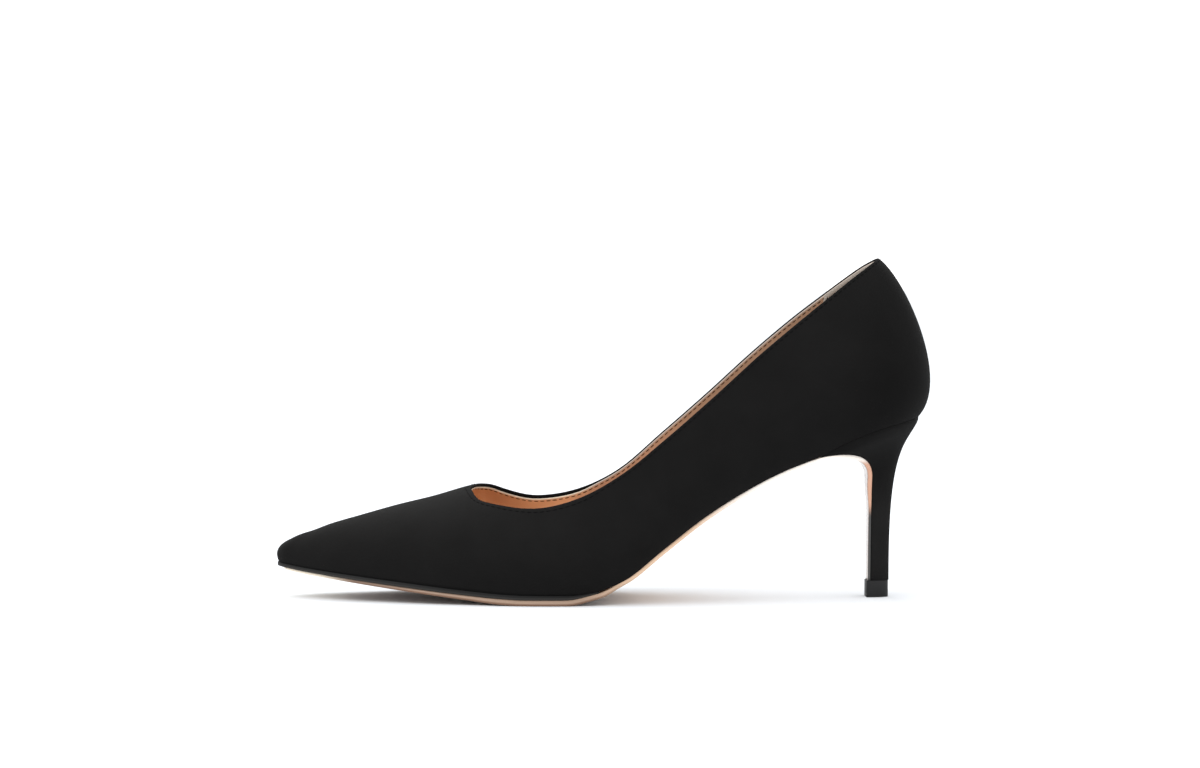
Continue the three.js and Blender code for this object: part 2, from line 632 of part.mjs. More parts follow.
// Outsole: from the toe along the waist, then down the breast of the heel as a flap.
function makeOutsole() {
  const sections = rowsBetween(soleStartRow, breastRow, soleSections).map((row) => {
    const top = soleDepth(row);
    const bottom = top + soleShare(row) * outsoleThickness;
    return plateSection(row, soleProud(row) * ballWidth, top, bottom, edgeBevel);
  });
  const rings = heelRings().slice(0, -1);
  const rows = heelLevels.map((level, k) => ({
    front: level.front,
    lateral: rings[k][0].y,
    medial: rings[k][heelRingSteps].y,
  }));
  const lateralAt = column(rows, "lateral", "front");
  const medialAt = column(rows, "medial", "front");
  const shares = rows.map((row) => row.front);
  for (let k = 1; k < lipSteps; k += 1) {
    shares.push(THREE.MathUtils.lerp(lipLevel.front, 1, k / lipSteps));
  }
  shares.reverse();
  for (const share of shares) {
    const { point, into } = breastPlace(share);
    const wide = THREE.MathUtils.clamp((share - lipLevel.front) / (1 - lipLevel.front), 0, 1);
    const seam = soleProud(breastRow) * ballWidth;
    const lateral = THREE.MathUtils.lerp(lateralAt(share), outlineAt(point.x, -1) - seam, wide);
    const medial = THREE.MathUtils.lerp(medialAt(share), outlineAt(point.x, 1) + seam, wide);
    const rise = (point.z - ballStack) / seatRise;
    const full = THREE.MathUtils.smoothstep(rise, skiveEnd, skiveStart);
    const thick = outsoleThickness * THREE.MathUtils.lerp(flapThickness, soleShare(breastRow), full);
    const bevel = Math.min(edgeBevel, thick / 2);
    const corner = (y, depth) => point.clone().addScaledVector(into, -depth).setY(y);
    sections.push([
      corner(lateral, 0),
      corner(medial, 0),
      corner(medial, thick - bevel),
      corner(medial - bevel, thick),
      corner(lateral + bevel, thick),
      corner(lateral, thick - bevel),
    ]);
  }
  return loft(sections);
}

// Top lift: the hard block under the heel's tip.
function makeToplift() {
  const tip = heelRings()[0];
  const front = tip[0].x;
  const back = tip[heelRingSteps / 2].x;
  const widen = 1 + (2 * topliftMargin) / stemWidth;
  const outline = tip.map(({ x, y }) => {
    const share = (x - front) / (back - front);
    return [THREE.MathUtils.lerp(front - topliftLip, back - topliftSetback, share), y * widen];
  });
  return loft([0, topliftHeight].map((z) => outline.map(([x, y]) => new THREE.Vector3(x, y, z))));
}

const suede = new THREE.MeshStandardMaterial({ color: 0x17181a, roughness: 0.95, metalness: 0 });
const edgeBlack = new THREE.MeshStandardMaterial({ color: 0x101011, roughness: 0.5, metalness: 0 });
const soleLeather = new THREE.MeshStandardMaterial({ color: 0xd8ba9a, roughness: 0.5, metalness: 0 });
const liningLeather = new THREE.MeshStandardMaterial({ color: 0xb98a5e, roughness: 0.6, metalness: 0 });
const rubber = new THREE.MeshStandardMaterial({ color: 0x1c1c1d, roughness: 0.7, metalness: 0 });

const pieces = [
  ["upper", makeUpper(), suede],
  ["insole", makeInsole(), liningLeather],
  ["slip_sole", makeSlipSole(), edgeBlack],
  ["outsole", makeOutsole(), soleLeather],
  ["heel", makeHeel(), suede],
  ["toplift", makeToplift(), rubber],
];

const shoe = new THREE.Group();
for (const [name, geometry, material] of pieces) {
  const mesh = new THREE.Mesh(geometry, material);
  mesh.name = name;
  shoe.add(mesh);
}
const middle = new THREE.Box3().setFromObject(shoe).getCenter(new THREE.Vector3());
shoe.position.set(-middle.x, -middle.y, 0);

export default shoe;
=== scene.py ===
"""A high heel shoe for the left foot: a pointed pump in black suede on a slim covered heel.

The script dresses the shoe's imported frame. Every length below is in millimetres until a mesh
is made of it. The toe points along -X, the outer side faces -Y and the floor is z = 0.
"""
import math

import bpy
import numpy as np
from mathutils import Euler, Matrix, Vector
from mathutils.bvhtree import BVHTree


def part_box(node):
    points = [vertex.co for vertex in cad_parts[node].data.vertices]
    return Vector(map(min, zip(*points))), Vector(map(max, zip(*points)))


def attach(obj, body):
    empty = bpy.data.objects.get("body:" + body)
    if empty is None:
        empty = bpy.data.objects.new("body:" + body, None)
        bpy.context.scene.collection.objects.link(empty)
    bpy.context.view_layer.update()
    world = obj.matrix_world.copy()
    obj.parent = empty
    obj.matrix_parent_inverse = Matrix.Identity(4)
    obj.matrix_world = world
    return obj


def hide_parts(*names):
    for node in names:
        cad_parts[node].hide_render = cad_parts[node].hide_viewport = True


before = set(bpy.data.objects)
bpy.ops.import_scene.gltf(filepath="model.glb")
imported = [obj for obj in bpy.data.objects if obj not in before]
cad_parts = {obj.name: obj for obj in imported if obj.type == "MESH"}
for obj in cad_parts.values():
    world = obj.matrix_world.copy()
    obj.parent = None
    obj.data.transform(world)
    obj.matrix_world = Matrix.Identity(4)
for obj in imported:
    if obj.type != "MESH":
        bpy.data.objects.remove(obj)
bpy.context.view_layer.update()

bl_info = {
    "name": "High Heel Shoe",
    "version": (1, 0, 0),
    "blender": (4, 5, 0),
    "location": "View3D > Sidebar > Shoe",
    "description": "Builds a suede pump round its packed frame, piece by piece",
    "category": "Object",
}

MM = 0.001
BODY = "root"


def table(names, *rows):
    """Rows with named columns."""
    return [dict(zip(names.split(), row)) for row in rows]


# The bottom of the upper from the side, in shares of the toe spring and of the seat's rise.
BOTTOM_LINE = table(
    "along spring arch",
    (0, 0.92, 0),
    (0.034, 0.8, 0),
    (0.098, 0.62, 0),
    (0.192, 0.385, 0),
    (0.284, 0.15, 0),
    (0.345, 0.03, 0),
    (0.375, 0, 0),
    (0.443, 0, 0),
    (0.481, 0, 0.017),
    (0.525, 0, 0.078),
    (0.585, 0, 0.252),
    (0.646, 0, 0.43),
    (0.707, 0, 0.578),
    (0.768, 0, 0.702),
    (0.828, 0, 0.8),
    (0.867, 0, 0.882),
    (0.922, 0, 0.968),
    (0.982, 0, 1.02),
    (1, 0, 1.03),
)
# Ribs of the upper from the toe back: where they start on the feather line and end on the ridge
# or topline, in shares of the length and the ball width, and the height of their ends in shares
# of the instep's and the counter's. The lift is what the inner side's ends stand higher.
RIBS = table(
    "foot lat med head head_lat head_med vamp quarter lift",
    (0, -0.107, 0.107, 0.0205, -0.101, 0.101, 0.252, 0, 0),
    (0.0057, -0.056, 0.157, 0.0357, -0.099, 0.099, 0.308, 0, 0),
    (0.0225, -0.008, 0.2, 0.054, -0.095, 0.095, 0.36, 0, 0),
    (0.053, 0.067, 0.249, 0.082, -0.088, 0.088, 0.447, 0, 0),
    (0.107, 0.167, 0.307, 0.127, -0.075, 0.075, 0.561, 0, 0),
    (0.172, 0.267, 0.38, 0.182, -0.056, 0.056, 0.694, 0, 0),
    (0.238, 0.347, 0.443, 0.24, -0.033, 0.033, 0.82, 0, 0),
    (0.295, 0.4, 0.48, 0.295, 0, 0, 0.949, 0, 0),
    (0.32, 0.424, 0.485, 0.3107, 0.178, 0.165, 0.8, 0.047, 0.06),
    (0.3545, 0.451, 0.48, 0.344, 0.26, 0.245, 0.68, 0.097, 0.055),
    (0.406, 0.473, 0.453, 0.402, 0.325, 0.315, 0.5, 0.21, 0.025),
    (0.463, 0.467, 0.387, 0.463, 0.343, 0.34, 0.32, 0.387, -0.006),
    (0.525, 0.42, 0.297, 0.525, 0.345, 0.345, 0.15, 0.562, -0.029),
    (0.594, 0.353, 0.217, 0.594, 0.333, 0.337, 0.05, 0.641, -0.016),
    (0.668, 0.289, 0.183, 0.664, 0.32, 0.327, 0, 0.714, -0.014),
    (0.742, 0.256, 0.193, 0.734, 0.304, 0.307, 0, 0.805, -0.01),
    (0.811, 0.271, 0.24, 0.797, 0.28, 0.28, 0, 0.899, -0.004),
    (0.869, 0.312, 0.296, 0.844, 0.244, 0.244, 0, 0.962, -0.006),
    (0.912, 0.324, 0.32, 0.875, 0.196, 0.196, 0, 0.992, -0.003),
    (0.949, 0.264, 0.264, 0.898, 0.133, 0.133, 0, 1.016, 0.004),
    (0.975, 0.147, 0.147, 0.9145, 0.067, 0.067, 0, 1.037, 0.002),
    (0.9836, 0, 0, 0.9207, 0, 0, 0, 1.045, 0),
)
# The ridge of the vamp as it would run on past the throat.
CROWN = table(
    "along vamp",
    (0.319, 0.993),
    (0.353, 1.061),
    (0.4115, 1.131),
)
# How the ribs lean out at their feet and turn in at their ends, in shares of their reach.
VAMP_WALLS = table(
    "out_lat out_med up head_out head_down crest",
    (0.21, 0.21, 0.45, 0.42, 0, 0),
    (0.19, 0.19, 0.45, 0.42, 0, 0),
    (0.16, 0.16, 0.45, 0.42, 0, 0),
    (0.12, 0.12, 0.45, 0.42, 0, 0.01),
    (0.1, 0.1, 0.45, 0.42, 0, 0.02),
    (0.09, 0.08, 0.45, 0.42, 0, 0.035),
    (0.1, 0.08, 0.44, 0.42, 0, 0.055),
    (0.11, 0.09, 0.43, 0.42, 0, 0.08),
    (0.114, 0.094, 0.427, 0.42, 0, 0.08),
    (0.12, 0.1, 0.42, 0.42, 0.01, 0.08),
    (0.125, 0.12, 0.4, 0.42, 0.03, 0.07),
)
QUARTER_WALLS = table(
    "out_lat out_med up head_out head_down crest",
    (0.12, 0.1, 0.44, 0.36, 0.08, 0.07),
    (0.13, 0.11, 0.43, 0.27, 0.17, 0.035),
    (0.14, 0.14, 0.4, 0.18, 0.24, 0.01),
    (0.16, 0.18, 0.36, 0.13, 0.26, 0),
    (0.18, 0.24, 0.32, 0.1, 0.28, 0),
    (0.2, 0.3, 0.28, 0.08, 0.3, 0),
    (0.22, 0.34, 0.26, 0.08, 0.3, 0),
    (0.22, 0.32, 0.26, 0.08, 0.3, 0),
    (0.2, 0.26, 0.27, 0.1, 0.3, 0),
    (0.19, 0.21, 0.28, 0.12, 0.28, 0),
    (0.19, 0.19, 0.29, 0.14, 0.24, 0),
    (0.19, 0.19, 0.29, 0.17, 0.2, 0),
    (0.2, 0.2, 0.24, 0.175, 0.13, 0),
    (0.208, 0.208, 0.205, 0.165, 0.1, 0),
)
# How far the bottom pieces stand past the feather line, in shares of the ball width, and their
# thickness in shares of the named one.
EDGES = table(
    "row slip_proud sole_proud slip thickness",
    (0, 0.006, -0.03, 0.74, 0.416),
    (3, 0.006, -0.014, 0.8, 0.45),
    (6, 0.006, 0.002, 1, 0.67),
    (9, 0.006, 0.003, 1, 1),
    (10.6, 0.005, 0.003, 1, 1),
    (11.4, 0.002, 0.002, 1, 0.9),
    (12, 0, 0, 1, 0.65),
    (14, 0, -0.006, 1, 0.68),
    (16, 0, -0.003, 1, 0.78),
)
# The heel from its tip up: shares of the breast's and the back's length, of the stem's width, of
# the way out to the feather line, and of the seat's bow.
HEEL_LEVELS = table(
    "front back width seat bow",
    (0, 0, 1, 0, 0),
    (0.14, 0.147, 1, 0, 0),
    (0.29, 0.31, 1.05, 0, 0),
    (0.43, 0.47, 1.2, 0, 0),
    (0.53, 0.6, 1.45, 0, 0),
    (0.6, 0.7, 1.85, 0, 0),
    (0.66, 0.79, 2.45, 0.05, 0),
    (0.74, 0.87, 3.25, 0.3, 0.1),
    (0.84, 0.94, 4.3, 0.7, 0.4),
    (0.94, 0.982, 5.2, 0.97, 0.85),
)

THROAT_ROW = 7
BREAST_ROW = 16
LAST_ROW = len(RIBS) - 1
CROWN_END_ROW = THROAT_ROW + len(CROWN)
SLIP_END_ROW = 11.4
SLIP_TAPER_ROWS = 0.9
SLIP_STEP_ROWS = 0.5
SOLE_START_ROW = 0.04
TOE_CROWDING = 1.25
RIB_CROWDING = 1.2

# The heel's curves: shares of the length, of the seat's rise, or of the curve's own box.
BREAST_ALONG = 0.9093
BREAST_LEAN = 0.0014
CORNER_HEIGHT = 0.66
CORNER_REACH = 0.025
CORNER_STAND = 0.05
BACK_STAND = 0.6
BACK_KNEE = 0.78
BACK_LEAN = 0.2
HEEL_ROUNDNESS = 0.85
ENDS_AND_BACK = 3
# The sole's flap: its thickness as a share of the outsole's, and where its skiving starts and
# ends, as shares of the seat's rise.
FLAP_THICKNESS = 0.4
SKIVE_START = 0.62
SKIVE_END = 0.45
# Steps of the reckoning.
SLOPE_STEP = 0.002
HEADING_STEP = 1e-4
NO_LENGTH = 1e-12
CURVE_STEPS = 200
CUT_HALVINGS = 30


def clamp(value, low=0.0, high=1.0):
    return min(max(value, low), high)


def lerp(a, b, share):
    return a + (b - a) * share


def ease(value, start, end):
    """0 before start, 1 after end, smooth between."""
    t = clamp((value - start) / (end - start))
    return t * t * (3 - 2 * t)


def unit(vector):
    return vector / max(np.linalg.norm(vector), NO_LENGTH)


def column(rows, key, along=None, first=0):
    """A smooth function through one column of a table, with no overshoot between its rows."""
    xs = [row[along] if along else first + k for k, row in enumerate(rows)]
    ys = [row[key] for row in rows]
    chords = [(ys[k + 1] - ys[k]) / (xs[k + 1] - xs[k]) for k in range(len(xs) - 1)]
    slopes = [chords[0]]
    for before, after in zip(chords, chords[1:]):
        slopes.append(0 if before * after <= 0 else 2 / (1 / before + 1 / after))
    slopes.append(chords[-1])

    def value(at):
        k = 0
        while k < len(xs) - 2 and at > xs[k + 1]:
            k += 1
        span = xs[k + 1] - xs[k]
        t = clamp((at - xs[k]) / span)
        bend = (1 - t) * slopes[k] - t * slopes[k + 1]
        return ys[k] + (ys[k + 1] - ys[k]) * t * t * (3 - 2 * t) + span * t * (1 - t) * bend

    return value


class Spline:
    """A smooth curve through points, open or closed, over shares from 0 to 1."""

    def __init__(self, points, closed=False):
        self.points = points
        self.closed = closed

    def knot(self, k):
        points = self.points
        if self.closed:
            return points[k % len(points)]
        if k < 0:
            return 2 * points[0] - points[1]
        if k >= len(points):
            return 2 * points[-1] - points[-2]
        return points[k]

    def at(self, share):
        spans = len(self.points) - (0 if self.closed else 1)
        start = math.floor(share * spans)
        if not self.closed:
            start = min(start, spans - 1)
        t = share * spans - start
        a, b, c, d = (self.knot(start + k) for k in (-1, 0, 1, 2))
        before, here, after = (math.sqrt(np.linalg.norm(q - p)) for p, q in ((a, b), (b, c), (c, d)))
        here = here or 1
        before = before or here
        after = after or here
        leave = ((b - a) / before - (c - a) / (before + here) + (c - b) / here) * here
        reach = ((c - b) / here - (d - b) / (here + after) + (d - c) / after) * here
        squared = 3 * (c - b) - 2 * leave - reach
        return b + leave * t + squared * t**2 + (2 * (b - c) + leave + reach) * t**3

    def heading(self, share):
        ahead = self.at(min(share + HEADING_STEP, 1))
        return unit(ahead - self.at(max(share - HEADING_STEP, 0)))


def bezier(handles, share):
    a, b, c, d = handles
    rest = 1 - share
    return a * rest**3 + 3 * b * rest**2 * share + 3 * c * rest * share**2 + d * share**3


class Path:
    """A line through points, read by its length."""

    def __init__(self, points):
        self.points = np.array(points)
        steps = np.linalg.norm(np.diff(self.points, axis=0), axis=1)
        self.reached = np.concatenate([[0], np.cumsum(steps)])
        self.length = self.reached[-1]

    def at(self, share):
        place = share * self.length
        return np.array([np.interp(place, self.reached, self.points[:, axis]) for axis in range(3)])


class Last:
    """The form of the shoe: its feather line, the ribs of its upper and its heel."""

    def __init__(self, sizes):
        for name in ShoeSizes.__annotations__:
            setattr(self, name, getattr(sizes, name) / MM)
        self.ball_stack = self.outsole_thickness + self.slip_thickness + 2 * self.clearance
        self.spring_at = column(BOTTOM_LINE, "spring", "along")
        self.arch_at = column(BOTTOM_LINE, "arch", "along")
        lateral = [(row["foot"], -row["lat"]) for row in RIBS]
        medial = [(row["foot"], row["med"]) for row in RIBS[1:-1]][::-1]
        feather = [
            np.array([foot * self.shoe_length, out * self.ball_width, 0])
            for foot, out in lateral + medial
        ]
        self.ring_rows = len(feather)
        self.ring = Spline(feather, closed=True)
        crown = [
            np.array([x, 0, self.bottom(x) + row["vamp"] * self.instep_height])
            for row, x in ((row, row["along"] * self.shoe_length) for row in CROWN)
        ]
        self.ridge = Spline([self.head(row, 1) for row in RIBS[: THROAT_ROW + 1]] + crown)
        self.topline = Spline(
            [self.head(row, -1) for row in RIBS[THROAT_ROW:]]
            + [self.head(row, 1) for row in RIBS[THROAT_ROW + 1 : -1][::-1]],
            closed=True,
        )
        walls = VAMP_WALLS[0].keys()
        self.vamp_walls = {key: column(VAMP_WALLS, key) for key in walls}
        self.quarter_walls = {
            key: column(QUARTER_WALLS, key, first=THROAT_ROW + 1) for key in walls
        }
        self.set_out_heel()

    def bottom(self, x):
        """Height of the feather line above the floor, x behind the toe tip."""
        along = x / self.shoe_length
        spring = self.spring_at(along) * self.toe_spring
        return self.ball_stack + spring + self.arch_at(along) * self.seat_rise

    def below(self, x, y, depth):
        """The point at a depth square below the feather line's height."""
        step = SLOPE_STEP * self.shoe_length
        slope = (self.bottom(x + step) - self.bottom(x - step)) / (2 * step)
        length = math.hypot(1, slope)
        return np.array([x + depth * slope / length, y, self.bottom(x) - depth / length])

    def head(self, row, side):
        breadth = -row["head_lat"] if side < 0 else row["head_med"]
        lift = 0 if side < 0 else row["lift"]
        rise = row["vamp"] * self.instep_height + (row["quarter"] + lift) * self.counter_height
        x = row["head"] * self.shoe_length
        return np.array([x, breadth * self.ball_width, self.bottom(x) + rise])

    def feather(self, row, side):
        """A place on the feather line, and the direction out of the shoe there."""
        turn = (row if side < 0 else self.ring_rows - row) / self.ring_rows % 1
        heading = self.ring.heading(turn)
        return self.ring.at(turn), unit(np.array([heading[1], -heading[0], 0]))

    def rib_between(self, row, side, walls, top, climb):
        foot, out = self.feather(row, side)
        foot[2] = self.bottom(foot[0])
        reach = np.linalg.norm(top - foot)
        lean = walls["out_lat" if side < 0 else "out_med"](row)
        up = np.array([0, 0, 1])
        head_out = walls["head_out"](row) * reach
        tip = side * walls["crest"](row) - walls["head_down"](row)
        low = foot + out * lean * reach + up * walls["up"](row) * reach
        high = top + out * head_out + up * (climb * out[0] * head_out + tip * reach)
        return np.array([foot, low, high, top])

    def vamp_rib(self, row, side):
        share = row / CROWN_END_ROW
        heading = self.ridge.heading(share)
        climb = heading[2] / heading[0]
        return self.rib_between(row, side, self.vamp_walls, self.ridge.at(share), climb)

    def quarter_rib(self, row, side):
        turn = (row - THROAT_ROW) / len(self.topline.points)
        top = self.topline.at(turn if side < 0 else 1 - turn)
        return self.rib_between(row, side, self.quarter_walls, top, 0)

    def rib(self, row, side):
        """Handles of one rib of the outer face, from the feather line to the ridge or topline."""
        if row <= THROAT_ROW:
            return self.vamp_rib(row, side)
        quarter = self.quarter_rib(row, side)
        if row >= CROWN_END_ROW:
            return quarter
        whole = self.vamp_rib(row, side)
        low, high = 0.5, 1.0
        for _ in range(CUT_HALVINGS):
            middle = (low + high) / 2
            outside = abs(bezier(whole, middle)[1]) > abs(quarter[3][1])
            low, high = (middle, high) if outside else (low, middle)
        kept = [whole[0]]
        handles = list(whole)
        while len(handles) > 1:
            handles = [lerp(a, b, low) for a, b in zip(handles, handles[1:])]
            kept.append(handles[0])
        return lerp(np.array(kept), quarter, ease(row, THROAT_ROW, CROWN_END_ROW))

    def set_out_heel(self):
        """The breast of the heel, its back and the outline of its seat."""
        length = self.shoe_length
        waist_end = RIBS[BREAST_ROW]["foot"]
        corner = self.below(waist_end * length, 0, self.clearance)
        before = self.below((waist_end - SLOPE_STEP) * length, 0, self.clearance)
        heading = unit(corner - before)
        breast_x = BREAST_ALONG * length
        turn = np.array([breast_x, 0, self.ball_stack + CORNER_HEIGHT * self.seat_rise])
        self.heel_foot = self.toplift_height + self.clearance
        foot = np.array([breast_x - BREAST_LEAN * length, 0, self.heel_foot])
        bend = [
            turn,
            turn + [0, 0, CORNER_STAND * length],
            corner + heading * CORNER_REACH * length,
            corner,
        ]
        self.breast = Path([foot] + [bezier(bend, k / CURVE_STEPS) for k in range(CURVE_STEPS + 1)])
        self.seat_back = self.below(RIBS[LAST_ROW]["foot"] * length, 0, self.clearance)
        back_x = foot[0] + self.clearance + self.stem_length
        run = self.seat_back[0] - back_x
        stand = self.seat_back[2] - self.heel_foot
        back = [
            np.array([back_x + run * share, 0, self.heel_foot + stand * rise])
            for share, rise in ((0, 0), (0, BACK_STAND), (BACK_LEAN, BACK_KNEE), (1, 1))
        ]
        self.back = Path([bezier(back, k / CURVE_STEPS) for k in range(CURVE_STEPS + 1)])
        rows = np.linspace(BREAST_ROW - 2, LAST_ROW, 2 * CURVE_STEPS)
        self.outlines = {
            side: np.array([self.feather(row, side)[0] for row in rows]) for side in (-1, 1)
        }
        lip, into = self.breast_place(HEEL_LEVELS[-1]["front"])
        self.lip_x = (lip + into * self.clearance)[0]
        self.skive = [self.ball_stack + share * self.seat_rise for share in (SKIVE_END, SKIVE_START)]
        tip = self.heel_ring(HEEL_LEVELS[0], ENDS_AND_BACK)
        self.lift_front = tip[0][0] - self.toplift_lip
        self.lift_back = tip[1][0] - self.toplift_setback
        middle = (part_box("toplift")[0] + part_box("toplift")[1]) / 2 / MM
        self.place = np.array([middle.x - (self.lift_front + self.lift_back) / 2, middle.y, 0])

    def breast_place(self, share):
        """A place on the breast's line, and the direction from the sole into the heel."""
        ahead = self.breast.at(min(share + SLOPE_STEP, 1))
        heading = unit(ahead - self.breast.at(max(share - SLOPE_STEP, 0)))
        return self.breast.at(share), np.array([heading[2], 0, -heading[0]])

    def outline(self, x, side):
        """Breadth of the feather line at x, on one side."""
        points = self.outlines[side]
        return np.interp(x, points[:, 0], points[:, 1])

    def seat(self, x, gap=None):
        return self.below(x, 0, self.clearance if gap is None else gap)[2]

    def heel_ring(self, level, steps, rim=False):
        """One level of the heel, flat in front and round behind, from the outer side round."""
        front, into = self.breast_place(level["front"])
        front = front + into * self.clearance
        back = self.back.at(level["back"])
        if rim:
            front = np.array([self.lip_x, 0, 0])
            back = self.seat_back
        ring = []
        for turn in np.linspace(-math.pi / 2, math.pi / 2, steps):
            share = math.cos(turn)
            side = -1 if turn < 0 else 1
            x = lerp(front[0], back[0], share)
            seat_x = lerp(self.lip_x, self.seat_back[0], share)
            chord = lerp(self.seat(self.lip_x), self.seat(self.seat_back[0]), share)
            z = lerp(front[2], back[2], share) + level["bow"] * (self.seat(seat_x) - chord)
            stem = side * abs(math.sin(turn)) ** HEEL_ROUNDNESS * level["width"] * self.stem_width / 2
            y = lerp(stem, self.outline(x, side), level["seat"])
            if rim:
                y = self.outline(x, side)
                z = self.seat(x)
            ring.append(np.array([x, y, z]))
        return ring

    def heel_levels(self, per_row):
        """The heel's levels, with further ones between the rows of its table."""
        columns = {key: column(HEEL_LEVELS, key) for key in HEEL_LEVELS[0]}
        count = (len(HEEL_LEVELS) - 1) * per_row
        return [{key: value(k / per_row) for key, value in columns.items()} for k in range(count + 1)]


def size(name, description, millimetres):
    return bpy.props.FloatProperty(
        name=name, description=description, default=millimetres * MM, unit="LENGTH"
    )


def colour(name, description, red, green, blue):
    return bpy.props.FloatVectorProperty(
        name=name, description=description, default=(red, green, blue), subtype="COLOR"
    )


class ShoeSizes(bpy.types.PropertyGroup):
    """Driving sizes of the shoe."""

    shoe_length: size("Shoe length", "From the toe tip to the back of the counter", 244)
    ball_width: size("Ball width", "Scale of the breadths of the last", 75)
    instep_height: size("Instep height", "Vamp above the feather line at the throat", 38)
    counter_height: size("Counter height", "Back of the upper above the seat", 60)
    seat_rise: size("Seat rise", "Seat of the heel above the ball", 62.7)
    toe_spring: size("Toe spring", "Toe tip above the ball", 10)
    upper_wall: size("Upper wall", "Suede and lining together", 1.8)
    suede_thickness: size("Suede", "The suede alone", 1.0)
    outsole_thickness: size("Outsole", "Thickness of the outsole at the ball", 1.9)
    slip_thickness: size("Slip sole", "Thickness of the black slip sole", 1.45)
    slip_end_thickness: size("Slip sole end", "Its thickness where it ends at the waist", 0.45)
    insole_thickness: size("Insole", "Thickness of the insole and its sock", 2.4)
    stem_length: size("Stem length", "Depth of the heel's stem at its tip", 7.25)
    stem_width: size("Stem width", "Breadth of the heel's stem at its tip", 8)
    toplift_height: size("Top lift", "Height of the block under the heel", 6.0)
    toplift_margin: size("Top lift margin", "How far it stands outside the tip at each side", 0.4)
    toplift_lip: size("Top lift lip", "How far it stands in front of the tip", 1.5)
    toplift_setback: size("Top lift setback", "How far its back lies inside the tip", 0.25)
    clearance: size("Clearance", "Gap between the solids of the frame", 0.3)
    stitch_pitch: size("Stitch pitch", "From one stitch to the next", 2.4)
    stitch_length: size("Stitch length", "Length of one stitch", 1.8)
    thread: size("Thread", "Thickness of the thread", 0.34)


class ShoeColours(bpy.types.PropertyGroup):
    """Colours of the finishes."""

    suede: colour("Suede", "Black suede of the upper and the heel", 0.006, 0.0058, 0.0057)
    # The throat's tan is painted bright: painted light against the shade deep in the throat.
    lining: colour("Lining", "Tan lining leather", 0.92, 0.51, 0.275)
    lining_side: colour("Lining at the side", "Paler tan leather beside the throat", 0.55, 0.32, 0.2)
    lining_back: colour("Lining at the back", "Browner leather along the quarter", 0.42, 0.26, 0.165)
    cut_edge: colour("Cut edge", "Raw cream edge of the lining", 0.7, 0.57, 0.43)
    cut_edge_back: colour("Cut edge at the back", "Duller edge of the quarter", 0.36, 0.29, 0.24)
    counter: colour("Counter lining", "Pale lining of the heel counter", 0.3, 0.26, 0.22)
    sole: colour("Sole", "Nude leather of the outsole", 0.68, 0.47, 0.32)
    # The tread's lower edge is painted browner: painted shade near the floor, with some wear.
    sole_worn: colour("Sole, lower edge", "Browner edge of the tread", 0.16, 0.08, 0.045)
    sole_tread: colour("Sole tread", "Duller edge of the sole along the tread", 0.3, 0.2, 0.14)
    sole_toe: colour("Sole toe", "Paler edge of the sole under the toe", 0.8, 0.7, 0.56)
    # The waist's edge is painted nearly white: a painted reflection of the bright floor and backdrop.
    sole_waist: colour("Sole waist", "Pale edge of the sole before the heel", 0.9, 0.83, 0.76)
    flap: colour("Flap", "Edge of the flap down the breast of the heel", 0.6, 0.33, 0.22)
    flap_low: colour("Flap low", "Its darkened edge further down", 0.05, 0.048, 0.046)
    flap_front: colour("Flap front", "Front of the flap", 0.36, 0.29, 0.25)
    edge: colour("Slip sole edge", "Painted edge of the slip sole", 0.019, 0.0175, 0.016)
    # Painted shade under the upper's overhang, on the slip sole's upper part.
    edge_groove: colour("Slip sole groove", "Its darker upper part", 0.0015, 0.0015, 0.0015)
    rubber: colour("Rubber", "Top lift", 0.009, 0.009, 0.0095)
    thread: colour("Thread", "Stitches", 0.003, 0.003, 0.0032)
    floor: colour("Floor", "Studio floor", 0.7, 0.72, 0.745)


def quads(grid, closed=True):
    """Faces between neighbouring lines of a grid of vertex numbers."""
    lines = grid + grid[:1] if closed else grid
    return [
        (near[k], far[k], far[k + 1], near[k + 1])
        for near, far in zip(lines, lines[1:])
        for k in range(len(near) - 1)
    ]


def strip(first, second):
    """Faces between two closed rings of vertex numbers."""
    count = len(first)
    return [
        (first[k], first[(k + 1) % count], second[(k + 1) % count], second[k]) for k in range(count)
    ]


def outward(points, faces):
    """Unit normals at the points of an open or closed surface."""
    total = np.zeros_like(points)
    for face in faces:
        a, b, c, d = points[list(face)]
        normal = np.cross(c - a, d - b)
        for vertex in face:
            total[vertex] += normal
    return total / np.maximum(np.linalg.norm(total, axis=1, keepdims=True), NO_LENGTH)


def edges_of(faces):
    """The directed edges on the border of a surface."""
    used = {edge for face in faces for edge in zip(face, face[1:] + face[:1])}
    return [(a, b) for a, b in used if (b, a) not in used]


def link(name, data):
    """An object of the scene round its data."""
    thing = bpy.data.objects.new(name, data)
    bpy.context.scene.collection.objects.link(thing)
    return thing


def make_piece(last, name, shape, finish):
    """A smooth mesh piece in the frame's place.

    The shape is its points and its faces, and it may have a number at each point.
    """
    points, faces, *shades = shape
    mesh = bpy.data.meshes.new(name)
    mesh.from_pydata(((np.array(points) + last.place) * MM).tolist(), [], faces)
    mesh.shade_smooth()
    mesh.materials.append(finish)
    if shades:
        mesh.attributes.new("shade", "FLOAT", "POINT").data.foreach_set("value", shades[0])
    piece = link(name, mesh)
    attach(piece, BODY)
    return piece


def loft(sections):
    """Points and faces of a solid through like closed sections, its ends closed by fans."""
    count = len(sections[0])
    points = [point for section in sections for point in section]
    rings = [list(range(s * count, (s + 1) * count)) for s in range(len(sections))]
    faces = [face for near, far in zip(rings, rings[1:]) for face in strip(far, near)]
    for ring, forward in ((rings[0], True), (rings[-1], False)):
        hub = len(points)
        points.append(np.mean([points[k] for k in ring], axis=0))
        for a, b in zip(ring, ring[1:] + ring[:1]):
            faces.append((hub, a, b) if forward else (hub, b, a))
    return points, faces


